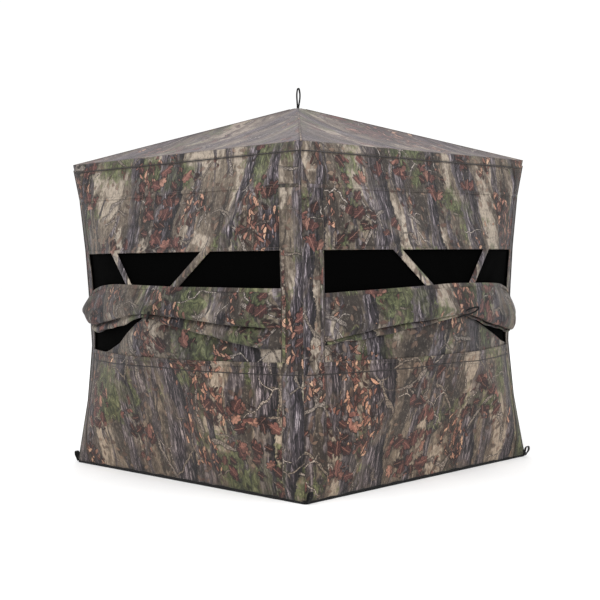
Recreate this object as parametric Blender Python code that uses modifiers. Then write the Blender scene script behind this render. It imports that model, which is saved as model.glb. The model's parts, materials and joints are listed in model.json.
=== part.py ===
"""Pop-up hub ground blind: a square fabric hide on a spring frame of five hubs and twenty
glass-fibre poles.  Metres, +Z up, origin at the middle of the footprint on the ground.
Walls are named as seen from above: front faces -Y, left faces -X, back faces +Y, right faces +X."""
import bmesh
import bpy
import numpy as np
from math import atan2, cos, pi, radians, sin, sqrt
from mathutils import Matrix, Vector

# ---------------------------------------------------------------- driving dimensions
W = 1.84            # side of the square footprint
h = W / 2
EAVE = 1.72         # height of the top corners
APEX = 2.04         # height of the fabric over the roof hub
MID = EAVE / 2      # height of the wall hubs
BULGE = 0.22        # how far a wall hub pushes the fabric out of the wall's plane
RISE = APEX - EAVE
CLOTH = 0.003       # thickness used for the fabric solids

HUB_R = 0.046       # wall and roof hub radius
HUB_T = 0.022       # hub thickness
PIVOT_R = 0.034     # pole pivots lie on this circle
SLOT_W = 0.0128     # width of the slot that each pole swings in
PIN_R = 0.0020      # hub pins
EYE_R = 0.0026      # hole in the pole ferrule
FERRULE_R = 0.0055
ROD_R = 0.0047
TIP_R = 0.0065
WALL_HUB_N = 0.188  # wall hub mid-plane, measured out from the wall's plane
ROOF_HUB_Z = APEX - 0.034
TIP_BACK_WALL = 0.050   # pole tips stop this far short of the corner point
TIP_BACK_ROOF = 0.066
TIP_N = -0.012      # wall pole tips lie this far inside the wall's plane
ROOF_TIP_Z = EAVE - 0.016

WIN_TOP = 1.207     # window opening
SILL = 0.664        # hem of the lower panel
FLAP_TOP = 1.028    # top edge of a lowered window cover
STRIP_U = 0.874     # a corner strip starts at this share of the half width
HEM_H = 0.018
DOOR_U = 0.800      # door hinge line, as a share of the half width

SAG_Z = [0.0, 0.07, 0.184, 0.36, 0.68, 1.00, 1.23, 1.52, 1.72]
SAG_M = [0.0, 0.0107, 0.0246, 0.046, 0.068, 0.057, 0.047, 0.0267, 0.0]

WALLS = {"front": (Vector((0, -1, 0)), Vector((1, 0, 0))),
         "left": (Vector((-1, 0, 0)), Vector((0, -1, 0))),
         "back": (Vector((0, 1, 0)), Vector((-1, 0, 0))),
         "right": (Vector((1, 0, 0)), Vector((0, 1, 0)))}


# ---------------------------------------------------------------- scene and materials
for old in list(bpy.data.objects):
    bpy.data.objects.remove(old, do_unlink=True)
scene = bpy.context.scene
parts = bpy.data.collections.new("pop_up_ground_blind")
cutters = bpy.data.collections.new("cutters")
scene.collection.children.link(parts)
scene.collection.children.link(cutters)
cutters.hide_render = True


def material(name, rgb, rough, metal=0.0):
    m = bpy.data.materials.new(name)
    m.use_nodes = True
    b = m.node_tree.nodes["Principled BSDF"]
    b.inputs["Base Color"].default_value = (*rgb, 1)
    b.inputs["Roughness"].default_value = rough
    b.inputs["Metallic"].default_value = metal
    return m


CAMO = material("camo_fabric", (0.16, 0.12, 0.09), 0.85)
WEBBING = material("black_webbing", (0.01, 0.01, 0.01), 0.8)
HUB_MAT = material("hub_nylon", (0.02, 0.02, 0.02), 0.45)
ROD_MAT = material("glass_fibre", (0.03, 0.03, 0.03), 0.35)
MESH = material("black_mesh", (0.008, 0.008, 0.008), 0.9)
ZIP_MAT = material("zip_tape", (0.015, 0.015, 0.015), 0.6)
SLIDER_MAT = material("zip_slider", (0.3, 0.3, 0.3), 0.35, 0.9)


def add(name, mesh, mat, collection=parts):
    ob = bpy.data.objects.new(name, mesh)
    collection.objects.link(ob)
    if not mesh.materials:
        mesh.materials.append(mat)
    return ob


def baked(ob, name, mat):
    """A plain mesh of the object with its modifiers applied; the object is removed."""
    dg = bpy.context.evaluated_depsgraph_get()
    mesh = bpy.data.meshes.new_from_object(ob.evaluated_get(dg))
    mesh.name = name
    mesh.materials.clear()
    mesh.materials.append(mat)
    bpy.data.objects.remove(ob, do_unlink=True)
    return mesh


def cylinder(name, radius, depth, segments, matrix, collection=cutters):
    bm = bmesh.new()
    bmesh.ops.create_cone(bm, cap_ends=True, cap_tris=False, segments=segments,
                          radius1=radius, radius2=radius, depth=depth, matrix=matrix)
    mesh = bpy.data.meshes.new(name)
    bm.to_mesh(mesh)
    bm.free()
    ob = bpy.data.objects.new(name, mesh)
    collection.objects.link(ob)
    ob.hide_render = True
    ob.display_type = "WIRE"
    return ob


def box(name, size, matrix, collection=cutters):
    bm = bmesh.new()
    bmesh.ops.create_cube(bm, size=1.0, matrix=matrix @ Matrix.Diagonal((*size, 1)))
    mesh = bpy.data.meshes.new(name)
    bm.to_mesh(mesh)
    bm.free()
    ob = bpy.data.objects.new(name, mesh)
    collection.objects.link(ob)
    ob.hide_render = True
    ob.display_type = "WIRE"
    return ob


def boolean(ob, other, operation):
    m = ob.modifiers.new(other.name, "BOOLEAN")
    m.operation = operation
    m.solver = "EXACT"
    m.object = other


# ---------------------------------------------------------------- the shape of the fabric
def sigma(z):
    """How far the corner seam is drawn in, along each of the two walls, at height z."""
    return float(np.interp(z, SAG_Z, SAG_M))


def share(u, v):
    """0 on the wall's outer edges, 1 at the hub: the pyramid that the hub makes of a wall."""
    return max(0.0, min(1 - abs(u), 1 - abs(v - MID) / MID))


def wall_point(wall, u, v, off=0.0):
    """A point of the wall's fabric: u is the share of the half width, v the height."""
    n_vec, e_vec = WALLS[wall]
    tx, tz = 1 - abs(u), 1 - abs(v - MID) / MID
    pull = sigma(v) * max(0.0, 1 - tx / max(tz, 1e-6)) ** 2.8
    x = u * h - (pull if u > 0 else -pull)
    n = BULGE * share(u, v) - pull
    return e_vec * x + n_vec * (h + n + off) + Vector((0, 0, v))


def pole_u(v):
    """Where the poles run, as a share of the half width, at height v."""
    return abs(v - MID) / MID


def sheet(name, columns, rows, place, mat=CAMO, skip=None, thickness=CLOTH):
    """A fabric solid: a grid whose points are placed by a rule, then thickened."""
    bm = bmesh.new()
    bmesh.ops.create_grid(bm, x_segments=columns - 1, y_segments=rows - 1, size=1.0)
    for vert in bm.verts:
        i = round((vert.co.x + 1) / 2 * (columns - 1))
        j = round((vert.co.y + 1) / 2 * (rows - 1))
        vert.tag = False
        vert.co = Vector((i, j, 0))
    if skip:
        gone = [f for f in bm.faces
                if skip(int(f.calc_center_median().x), int(f.calc_center_median().y))]
        bmesh.ops.delete(bm, geom=gone, context="FACES")
    for vert in bm.verts:
        vert.co = place(round(vert.co.x), round(vert.co.y))
    bmesh.ops.remove_doubles(bm, verts=bm.verts, dist=1e-5)
    bmesh.ops.triangulate(bm, faces=bm.faces)
    mesh = bpy.data.meshes.new(name)
    bm.to_mesh(mesh)
    bm.free()
    ob = add(name, mesh, mat)
    s = ob.modifiers.new("Solidify", "SOLIDIFY")
    s.thickness = thickness
    s.offset = 0
    s.use_even_offset = True
    return ob


# ---------------------------------------------------------------- hubs
def hub_mesh(name, angles):
    """A nylon disc with a radial slot at each angle, each slot bridged by a steel pin."""
    bm = bmesh.new()
    bmesh.ops.create_cone(bm, cap_ends=True, segments=32, radius1=HUB_R, radius2=HUB_R, depth=HUB_T)
    mesh = bpy.data.meshes.new("hub_blank")
    bm.to_mesh(mesh)
    bm.free()
    ob = bpy.data.objects.new("hub_blank", mesh)
    parts.objects.link(ob)
    bev = ob.modifiers.new("Bevel", "BEVEL")
    bev.width = 0.0025
    bev.segments = 2
    bev.limit_method = "ANGLE"
    made = []
    for k, angle in enumerate(angles):
        turn = Matrix.Rotation(angle, 4, "Z")
        slot = box(f"slot_{k}", (0.034, SLOT_W, 0.05), turn @ Matrix.Translation((0.040, 0, 0)))
        boolean(ob, slot, "DIFFERENCE")
        made.append(slot)
    for k, angle in enumerate(angles):
        turn = Matrix.Rotation(angle, 4, "Z")
        pin = cylinder(f"pin_{k}", PIN_R, SLOT_W + 0.006, 12,
                       turn @ Matrix.Translation((PIVOT_R, 0, 0)) @ Matrix.Rotation(pi / 2, 4, "X"))
        boolean(ob, pin, "UNION")
        made.append(pin)
    # a low boss on the outer face carries the pull loop
    boss = cylinder("boss", 0.012, 0.006, 20, Matrix.Translation((0, 0, HUB_T / 2 + 0.002)))
    boolean(ob, boss, "UNION")
    made.append(boss)
    mesh = baked(ob, name, HUB_MAT)
    for o in made:
        bpy.data.objects.remove(o, do_unlink=True)
    return mesh


def frame_of(origin, z_dir, x_dir):
    z = z_dir.normalized()
    x = (x_dir - z * x_dir.dot(z)).normalized()
    y = z.cross(x)
    m = Matrix.Identity(4)
    for i in range(3):
        m[i][0], m[i][1], m[i][2], m[i][3] = x[i], y[i], z[i], origin[i]
    return m


# ---------------------------------------------------------------- poles
def pole_mesh(length, name):
    """Ferrule with a cross hole at the pivot, rod, and moulded tip, turned about +Z from the pivot."""
    profile = [(0.0, length), (TIP_R * 0.62, length), (TIP_R, length - 0.004), (TIP_R, length - 0.026),
               (ROD_R, length - 0.028), (ROD_R, 0.058), (FERRULE_R, 0.056),
               (FERRULE_R, -0.0035), (FERRULE_R * 0.6, -0.0065), (0.0, -0.0065)]
    mesh = bpy.data.meshes.new(name + "_profile")
    mesh.from_pydata([(r, 0, z) for r, z in profile], [(i, i + 1) for i in range(len(profile) - 1)], [])
    ob = bpy.data.objects.new(name + "_turned", mesh)
    parts.objects.link(ob)
    s = ob.modifiers.new("Screw", "SCREW")
    s.steps = s.render_steps = 12
    s.use_merge_vertices = True
    s.merge_threshold = 0.0001
    hole = cylinder(name + "_hole", EYE_R, 0.03, 12, Matrix.Rotation(pi / 2, 4, "Y"))
    boolean(ob, hole, "DIFFERENCE")
    mesh = baked(ob, name, ROD_MAT)
    bpy.data.objects.remove(hole, do_unlink=True)
    return mesh


# a wall is not quite square, so the arms of its hub are not quite at right angles
lean = pi - 2 * atan2(MID, h)
WALL_HUB = hub_mesh("wall_hub", (0, lean, pi, pi + lean))
ROOF_HUB = hub_mesh("roof_hub", (0, pi / 2, pi, 3 * pi / 2))
pivots = {}     # pole name: (pivot, tip, pin axis)

# wall poles: the diagonal of the wall, seen from the hub
diagonal = sqrt(h * h + MID * MID)
span_wall = diagonal - PIVOT_R - TIP_BACK_WALL
drop_wall = WALL_HUB_N - TIP_N
WALL_POLE = pole_mesh(sqrt(span_wall ** 2 + drop_wall ** 2), "wall_pole")
span_roof = h * sqrt(2) - PIVOT_R - TIP_BACK_ROOF
drop_roof = ROOF_HUB_Z - ROOF_TIP_Z
ROOF_POLE = pole_mesh(sqrt(span_roof ** 2 + drop_roof ** 2), "roof_pole")

for wall, (n_vec, e_vec) in WALLS.items():
    centre = n_vec * (h + WALL_HUB_N) + Vector((0, 0, MID))
    hub = add(f"{wall}_hub", WALL_HUB, HUB_MAT)
    # the four slots of a wall hub point at the wall's corners, so its arms are turned off square
    spread = []
    for label, sx, sz in (("top_right", 1, 1), ("top_left", -1, 1), ("bottom_left", -1, -1), ("bottom_right", 1, -1)):
        e = (e_vec * (sx * h) + Vector((0, 0, sz * MID))).normalized()
        pivot = centre + e * PIVOT_R
        tip = n_vec * (h + TIP_N) + Vector((0, 0, MID)) + e * (diagonal - TIP_BACK_WALL)
        pin = n_vec.cross(e).normalized()
        pole = add(f"{wall}_pole_{label}", WALL_POLE, ROD_MAT)
        pole.matrix_world = frame_of(pivot, tip - pivot, pin)
        pivots[pole.name] = (pivot, tip, pin)
        spread.append(e)
    hub.matrix_world = frame_of(centre, n_vec, spread[0])

roof_hub = add("roof_hub", ROOF_HUB, HUB_MAT)
centre = Vector((0, 0, ROOF_HUB_Z))
roof_hub.matrix_world = frame_of(centre, Vector((0, 0, 1)), Vector((1, 1, 0)))
for label, sx, sy in (("front_left", -1, -1), ("front_right", 1, -1), ("back_left", -1, 1), ("back_right", 1, 1)):
    e = Vector((sx, sy, 0)).normalized()
    pivot = centre + e * PIVOT_R
    tip = e * (h * sqrt(2) - TIP_BACK_ROOF) + Vector((0, 0, ROOF_TIP_Z))
    pole = add(f"roof_pole_{label}", ROOF_POLE, ROD_MAT)
    pole.matrix_world = frame_of(pivot, tip - pivot, Vector((0, 0, 1)).cross(e))

# ---------------------------------------------------------------- pull loops
def ribbon_loop(name, points, half_width, thickness, matrix, mat=WEBBING):
    """A closed band of webbing: a flat closed curve, given a width, then a thickness."""
    curve = bpy.data.curves.new(name, "CURVE")
    curve.dimensions = "2D"
    curve.fill_mode = "NONE"
    curve.extrude = half_width
    spline = curve.splines.new("POLY")
    spline.points.add(len(points) - 1)
    for p, (x, y) in zip(spline.points, points):
        p.co = (x, y, 0, 1)
    spline.use_cyclic_u = True
    ob = bpy.data.objects.new(name + "_path", curve)
    parts.objects.link(ob)
    dg = bpy.context.evaluated_depsgraph_get()
    mesh = bpy.data.meshes.new_from_object(ob.evaluated_get(dg))
    bpy.data.objects.remove(ob, do_unlink=True)
    bm = bmesh.new()
    bm.from_mesh(mesh)
    bmesh.ops.remove_doubles(bm, verts=bm.verts, dist=1e-6)
    bm.to_mesh(mesh)
    bm.free()
    mesh.name = name
    mesh.materials.clear()
    out = add(name, mesh, mat)
    s = out.modifiers.new("Solidify", "SOLIDIFY")
    s.thickness = thickness
    s.offset = 0
    out.matrix_world = matrix
    return out


def teardrop(length, width, neck, count=18):
    """A loop that starts narrow at the origin and swells towards its far end."""
    pts = []
    for i in range(count):
        a = 2 * pi * (i + 0.5) / count
        t = (1 - cos(a)) / 2
        half = neck / 2 + (width / 2 - neck / 2) * sin(pi * min(1, t) ** 1.7) ** 0.8 if 0 < t < 1 else neck / 2
        pts.append((length * t, half * (1 if sin(a) > 0 else -1)))
    return pts


for wall, (n_vec, e_vec) in WALLS.items():
    base = n_vec * (h + WALL_HUB_N + HUB_T / 2 + 0.0062) + Vector((0, 0, MID - 0.004))
    along = (n_vec * 0.62 + e_vec * 0.72 + Vector((0, 0, 0.04))).normalized()
    ribbon_loop(f"{wall}_pull_loop", teardrop(0.125, 0.022, 0.0055), 0.0085, 0.0018,
                frame_of(base + along * 0.003, Vector((0, 0, 1)) , along) )

ribbon_loop("roof_pull_loop", teardrop(0.128, 0.026, 0.0055), 0.0085, 0.0018,
            frame_of(Vector((0, 0, ROOF_HUB_Z + HUB_T / 2 + 0.0065)), Vector((0, 1, 0)), Vector((0.05, 0, 1.0))))

# ---------------------------------------------------------------- wall fabric
EDGE = 0.988        # panels stop just short of the corner seam


def six_columns(i, up, edge):
    return (-edge, -(edge + up) / 2, -up, up, (edge + up) / 2, edge)[i]


for wall in ("front", "left", "right"):
    rows_up = [WIN_TOP, 1.32, 1.45, 1.58, EAVE - 0.018]
    sheet(f"{wall}_upper_panel", 6, 5,
          lambda i, j, w=wall, r=rows_up: wall_point(w, six_columns(i, min(pole_u(r[j]), 0.97), EDGE), r[j]))
    rows_lo = [(HEM_H + 0.004, EDGE), (0.18, EDGE), (0.42, EDGE), (SILL, EDGE), (0.70, 0.857), (0.765, 0.44), (0.826, 0.055)]
    sheet(f"{wall}_lower_panel", 6, 7,
          lambda i, j, w=wall, r=rows_lo: wall_point(w, six_columns(i, min(pole_u(r[j][0]), r[j][1] * 0.97), r[j][1]), r[j][0]))

# the back wall is one panel with a door in its side facet instead of a window
BACK_ROWS = [HEM_H + 0.004, 0.10, 0.165, 0.36, 0.56, 0.75, 0.86, 0.97, 1.16, 1.36, 1.555, 1.62, EAVE - 0.018]
HUB_ROOM = 0.125    # the fabric leaves this much clear round the hub and its pull loop


def back_point(i, j):
    v = BACK_ROWS[j]
    outer = max(0.864, pole_u(v))
    inner = min(max(pole_u(v), HUB_ROOM), outer - 0.004)
    return wall_point("back", (-outer, -(outer + inner) / 2, -inner, inner, (outer + inner) / 2, outer)[i], v)


sheet("back_wall_panel", 6, len(BACK_ROWS), back_point, skip=lambda i, j: i < 2 or (i == 2 and 5 <= j < 7))

# a black mesh screen behind each window opening, cut away round the hub
SCREEN_V = (0.712, 0.742, 0.808, 0.925, 1.01, 1.105, WIN_TOP - 0.008)
SCREEN_P = (0.80, 0.60, 0.35)       # inner edge below the hub's cut-out, one for each of the lowest rows


def screen_u(i, j):
    inner = SCREEN_P[j] if j < 3 else pole_u(SCREEN_V[j])
    return (-0.857, -(0.857 + inner) / 2, -inner, inner, (0.857 + inner) / 2, 0.857)[i]


for wall in ("front", "left", "right"):
    sheet(f"{wall}_mesh_screen", 6, len(SCREEN_V),
          lambda i, j, w=wall: wall_point(w, screen_u(i, j), SCREEN_V[j], -0.008),
          mat=MESH, thickness=0.002, skip=lambda i, j: i == 2 and j < 3)

# corner strips: on the window walls they run beside the windows, on the back wall full height
CORNERS = {"front_left": ("front", -1, "left", 1), "front_right": ("front", 1, "right", -1),
           "back_right": ("back", -1, "right", 1), "back_left": ("back", 1, "left", -1)}
for label, (wa, sa, wb, sb) in CORNERS.items():
    back = wa == "back"
    vs = [0.10, 0.165, 0.42, 0.718, 0.95, 1.199, 1.37, 1.555, 1.62] if back else [0.718, 0.88, 1.04, 1.199]

    def corner_point(i, j, wa=wa, sa=sa, wb=wb, sb=sb, vs=vs):
        v = vs[j]
        # across: wall a in to out, the seam, wall b out to in
        if i < 3:
            inner = max(STRIP_U, pole_u(v) + 0.030)
            return wall_point(wa, sa * (inner, (inner + 0.999) / 2, 0.999)[i], v, 0.002)
        return wall_point(wb, sb * (0.999, 0.94, STRIP_U)[i - 3], v, 0.002)

    keep = (lambda i, j: i >= 2 and not (3 <= j < 5)) if back else None
    sheet(f"{label}_corner_strip", 6, len(vs), corner_point, skip=keep)

# ---------------------------------------------------------------- window covers
U11 = [-0.955, -0.82, -0.62, -0.42, -0.21, 0.0, 0.21, 0.42, 0.62, 0.82, 0.955]


def lowered_bottom(u):
    """Lower edge of a cover that is folded down over the hub."""
    return 0.905 - 0.175 * min(1.0, abs(u) / 0.7)


for wall in ("front", "left", "right"):
    sheet(f"{wall}_window_cover", 11, 4,
          lambda i, j, w=wall: wall_point(w, U11[i], FLAP_TOP - 0.002 + (lowered_bottom(U11[i]) - FLAP_TOP) * (3 - j) / 3, 0.026))

# ---------------------------------------------------------------- roof
for wall, (n_vec, e_vec) in WALLS.items():
    def gore(i, j, n_vec=n_vec, e_vec=e_vec):
        q = (0.0, 0.5, 0.955)[j]           # share of the way up to the hub
        half = h * (1 - q) - 0.004
        return e_vec * (half * (-1, -0.5, 0, 0.5, 1)[i]) + n_vec * (h * (1 - q)) + Vector((0, 0, EAVE + RISE * q))
    sheet(f"roof_panel_{wall}", 5, 3, gore)

# ---------------------------------------------------------------- ground hem and stake loops
hem = box("ground_hem", (2 * h + 0.008, 2 * h + 0.008, HEM_H), Matrix.Translation((0, 0, HEM_H / 2)), parts)
hem.hide_render = False
hem.display_type = "TEXTURED"
hem.data.materials.append(WEBBING)
inner = box("hem_inside", (2 * h - 0.006, 2 * h - 0.006, 0.1), Matrix.Translation((0, 0, HEM_H / 2)))
boolean(hem, inner, "DIFFERENCE")
for label, sx, sy in (("front_left", -1, -1), ("front_right", 1, -1), ("back_left", -1, 1), ("back_right", 1, 1)):
    foot = Vector((sx * (h - 0.010), sy * (h + 0.004 + 0.0048), 0.007))
    ribbon_loop(f"stake_loop_{label}", teardrop(0.058, 0.022, 0.005, 14), 0.0105, 0.0018,
                frame_of(foot, Vector((1, 0, 0)), Vector((0, sy * 0.42, 1))))

# ---------------------------------------------------------------- door in the back wall
DW = "back"
DS = -1                         # the door is on the +X side of the back wall
n_b, e_b = WALLS[DW]
hinge_x = DOOR_U * h
door_a = (hinge_x, BULGE * (1 - DOOR_U) - 0.006, 0.262)     # foot of the hinge line
door_b = (hinge_x, BULGE * (1 - DOOR_U) - 0.006, 1.458)     # head of the hinge line
door_c = (0.115 * h, BULGE * (1 - 0.115) - 0.006, MID)      # latch end, by the hub


def door_point(p, off=0.0):
    return e_b * (DS * p[0]) + n_b * (h + p[1] + off) + Vector((0, 0, p[2]))


def inset(points, by):
    """The triangle with each side moved in by a distance, in its own plane."""
    a, b, c = [Vector(p) for p in points]
    sides = [(b - c).length, (c - a).length, (a - b).length]
    centre = (a * sides[0] + b * sides[1] + c * sides[2]) / sum(sides)
    area = (b - a).cross(c - a).length / 2
    radius = 2 * area / sum(sides)
    return [centre + (p - centre) * (1 - by / radius) for p in (a, b, c)]


def triangle_sheet(name, outer, mat, hole=None, thickness=CLOTH):
    bm = bmesh.new()
    if hole is None:
        verts = [bm.verts.new(door_point(p)) for p in outer]
        bm.faces.new(verts)
    else:
        vo = [bm.verts.new(door_point(p)) for p in outer]
        vi = [bm.verts.new(door_point(p)) for p in hole]
        for k in range(3):
            bm.faces.new((vo[k], vo[(k + 1) % 3], vi[(k + 1) % 3], vi[k]))
    bmesh.ops.recalc_face_normals(bm, faces=bm.faces)
    mesh = bpy.data.meshes.new(name)
    bm.to_mesh(mesh)
    bm.free()
    ob = add(name, mesh, mat)
    s = ob.modifiers.new("Solidify", "SOLIDIFY")
    s.thickness = thickness
    s.offset = 0
    return ob


corners3 = [door_a, door_b, door_c]
triangle_sheet("door_zip_track", inset(corners3, 0.000), ZIP_MAT, hole=inset(corners3, 0.014), thickness=0.004)
triangle_sheet("door_panel", inset(corners3, 0.016), CAMO)

# the slider closes the door at the head of the hinge line and runs down to the hub end
track = [Vector(p) for p in inset(corners3, 0.008)]
run = (door_point(track[2]) - door_point(track[1])).normalized()
head = door_point(track[1]) + run * 0.05
face_n = (door_point(track[2]) - door_point(track[1])).cross(door_point(track[0]) - door_point(track[1])).normalized()
if face_n.dot(n_b) < 0:
    face_n = -face_n
slider_frame = frame_of(head + face_n * 0.0062, face_n, run)
slider = box("zip_slider", (0.020, 0.011, 0.0045), Matrix.Identity(4), parts)
slider.hide_render = False
slider.display_type = "TEXTURED"
slider.data.materials.append(SLIDER_MAT)
tab = box("zip_tab", (0.034, 0.008, 0.002), Matrix.Translation((-0.022, 0, 0.0005)))
for o in (slider, tab):
    o.matrix_world = slider_frame
boolean(slider, tab, "UNION")
for o in parts.objects:
    if o.type == "MESH" and "pole" in o.name:
        o.data.shade_smooth()
        o.data.set_sharp_from_angle(angle=radians(35))
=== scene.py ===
"""Looks of the pop-up hub ground blind: printed fabric skins over the sprung frame, slouched window covers,
seams, piping, webbing, zip, and the studio around it.  Metres, same frame as the CAD."""
import json
import math
import bpy
import numpy as np
from mathutils import Matrix, Vector, noise

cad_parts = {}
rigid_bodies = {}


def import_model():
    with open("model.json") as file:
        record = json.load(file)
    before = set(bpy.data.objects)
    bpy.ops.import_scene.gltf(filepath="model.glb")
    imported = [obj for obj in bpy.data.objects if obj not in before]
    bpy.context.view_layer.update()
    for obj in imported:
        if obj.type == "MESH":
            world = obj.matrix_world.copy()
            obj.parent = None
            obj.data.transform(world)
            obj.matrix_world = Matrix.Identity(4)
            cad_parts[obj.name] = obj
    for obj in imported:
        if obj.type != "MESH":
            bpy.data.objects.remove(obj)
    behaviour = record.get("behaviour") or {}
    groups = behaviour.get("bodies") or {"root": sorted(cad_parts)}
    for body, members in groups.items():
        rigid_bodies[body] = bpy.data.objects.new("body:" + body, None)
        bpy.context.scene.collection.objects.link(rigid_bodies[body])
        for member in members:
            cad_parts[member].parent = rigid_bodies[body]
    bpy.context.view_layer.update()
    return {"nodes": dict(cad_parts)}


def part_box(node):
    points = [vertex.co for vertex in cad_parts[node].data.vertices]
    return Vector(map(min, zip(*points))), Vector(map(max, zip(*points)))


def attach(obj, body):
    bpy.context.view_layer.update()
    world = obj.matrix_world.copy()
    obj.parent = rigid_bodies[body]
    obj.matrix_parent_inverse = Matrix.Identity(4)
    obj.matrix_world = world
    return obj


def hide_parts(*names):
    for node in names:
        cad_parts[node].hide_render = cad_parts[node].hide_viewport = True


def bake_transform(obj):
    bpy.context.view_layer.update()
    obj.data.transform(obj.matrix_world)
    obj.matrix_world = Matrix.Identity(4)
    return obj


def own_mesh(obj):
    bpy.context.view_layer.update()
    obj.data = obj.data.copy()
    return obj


for o in list(bpy.data.objects):
    bpy.data.objects.remove(o, do_unlink=True)
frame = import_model()
NODES = frame["nodes"]

# ---------------------------------------------------------------- dimensions repeated from the CAD
W = 1.84
h = W / 2
EAVE, APEX, MID, BULGE = 1.72, 2.04, 0.86, 0.22
HUB_N, ROOF_HUB_Z, PIVOT_R = 0.188, 2.006, 0.034
WIN_TOP, SILL, FLAP_TOP, STRIP_U = 1.207, 0.664, 1.028, 0.8735
SEAM_HI, SEAM_MID, SEAM_LO = 1.674, 1.512, 0.605
SAG_Z = [0.0, 0.07, 0.184, 0.36, 0.68, 1.00, 1.23, 1.52, 1.72]
SAG_M = [0.0, 0.0107, 0.0246, 0.046, 0.068, 0.057, 0.047, 0.0267, 0.0]
WALLS = {"front": ((0, -1, 0), (1, 0, 0)), "left": ((-1, 0, 0), (0, -1, 0)),
         "back": ((0, 1, 0), (-1, 0, 0)), "right": ((1, 0, 0), (0, 1, 0))}
WALLS = {k: (np.array(n, float), np.array(e, float)) for k, (n, e) in WALLS.items()}
UP = np.array([0, 0, 1.0])


# ---------------------------------------------------------------- material helpers
def lin(r, g, b):
    f = lambda c: c / 12.92 if c <= 0.04045 else ((c + 0.055) / 1.055) ** 2.4
    return (f(r / 255), f(g / 255), f(b / 255), 1.0)


class Nodes:
    """Short names for building a node tree."""

    def __init__(self, name):
        self.mat = bpy.data.materials.new(name)
        self.mat.use_nodes = True
        self.t = self.mat.node_tree
        self.bsdf = self.t.nodes["Principled BSDF"]

    def put(self, value, socket):
        if isinstance(value, bpy.types.NodeSocket):
            self.t.links.new(value, socket)
        elif value is not None:
            socket.default_value = value

    def node(self, kind, **props):
        n = self.t.nodes.new(kind)
        for k, v in props.items():
            setattr(n, k, v)
        return n

    def m(self, op, a, b=None, c=None, clamp=False):
        n = self.node("ShaderNodeMath", operation=op, use_clamp=clamp)
        self.put(a, n.inputs[0]), self.put(b, n.inputs[1])
        if c is not None:
            self.put(c, n.inputs[2])
        return n.outputs[0]

    def v(self, op, a, b=None):
        n = self.node("ShaderNodeVectorMath", operation=op)
        self.put(a, n.inputs[0]), self.put(b, n.inputs[1])
        return n.outputs["Value"] if op in ("LENGTH", "DISTANCE", "DOT_PRODUCT") else n.outputs[0]

    def xyz(self, v):
        n = self.node("ShaderNodeSeparateXYZ")
        self.put(v, n.inputs[0])
        return n.outputs[0], n.outputs[1], n.outputs[2]

    def vec(self, x, y, z=0.0):
        n = self.node("ShaderNodeCombineXYZ")
        for i, a in enumerate((x, y, z)):
            self.put(a, n.inputs[i])
        return n.outputs[0]

    def noise(self, vec, scale=1.0, detail=2.0, rough=0.5, dist=0.0, dims="2D", colour=False):
        n = self.node("ShaderNodeTexNoise", noise_dimensions=dims)
        self.put(vec, n.inputs["Vector"])
        for k, a in (("Scale", scale), ("Detail", detail), ("Roughness", rough), ("Distortion", dist)):
            n.inputs[k].default_value = a
        return n.outputs["Color" if colour else "Fac"]

    def voro(self, vec, scale=1.0, feature="F1", rnd=1.0, dims="2D"):
        n = self.node("ShaderNodeTexVoronoi", voronoi_dimensions=dims, feature=feature)
        self.put(vec, n.inputs["Vector"])
        n.inputs["Scale"].default_value = scale
        n.inputs["Randomness"].default_value = rnd
        return n

    def step(self, x, lo, hi):
        """0 at lo, 1 at hi, smooth between (lo may be above hi)."""
        n = self.node("ShaderNodeMapRange", interpolation_type="SMOOTHSTEP")
        self.put(x, n.inputs["Value"])
        a, b, c, d = (lo, hi, 0.0, 1.0) if lo < hi else (hi, lo, 1.0, 0.0)
        for k, q in (("From Min", a), ("From Max", b), ("To Min", c), ("To Max", d)):
            self.put(q, n.inputs[k])
        return n.outputs[0]

    def mix(self, fac, a, b, kind="MIX"):
        n = self.node("ShaderNodeMix", data_type="RGBA", blend_type=kind, clamp_factor=True)
        self.put(fac, n.inputs[0]), self.put(a, n.inputs[6]), self.put(b, n.inputs[7])
        return n.outputs[2]

    def ramp(self, fac, stops, smooth=True):
        n = self.node("ShaderNodeValToRGB")
        n.color_ramp.interpolation = "EASE" if smooth else "LINEAR"
        while len(n.color_ramp.elements) < len(stops):
            n.color_ramp.elements.new(0.5)
        for e, (p, c) in zip(n.color_ramp.elements, stops):
            e.position, e.color = p, c
        self.put(fac, n.inputs[0])
        return n.outputs[0]

    def bump(self, height, strength, distance):
        n = self.node("ShaderNodeBump")
        n.inputs["Strength"].default_value = strength
        n.inputs["Distance"].default_value = distance
        self.put(height, n.inputs["Height"])
        self.put(n.outputs[0], self.bsdf.inputs["Normal"])

    def uv(self):
        return self.node("ShaderNodeUVMap", uv_map="UVMap").outputs[0]

    def obj(self):
        return self.node("ShaderNodeTexCoord").outputs["Object"]

    def set(self, **kw):
        for k, a in kw.items():
            self.put(a, self.bsdf.inputs[k.replace("_", " ")])


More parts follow.
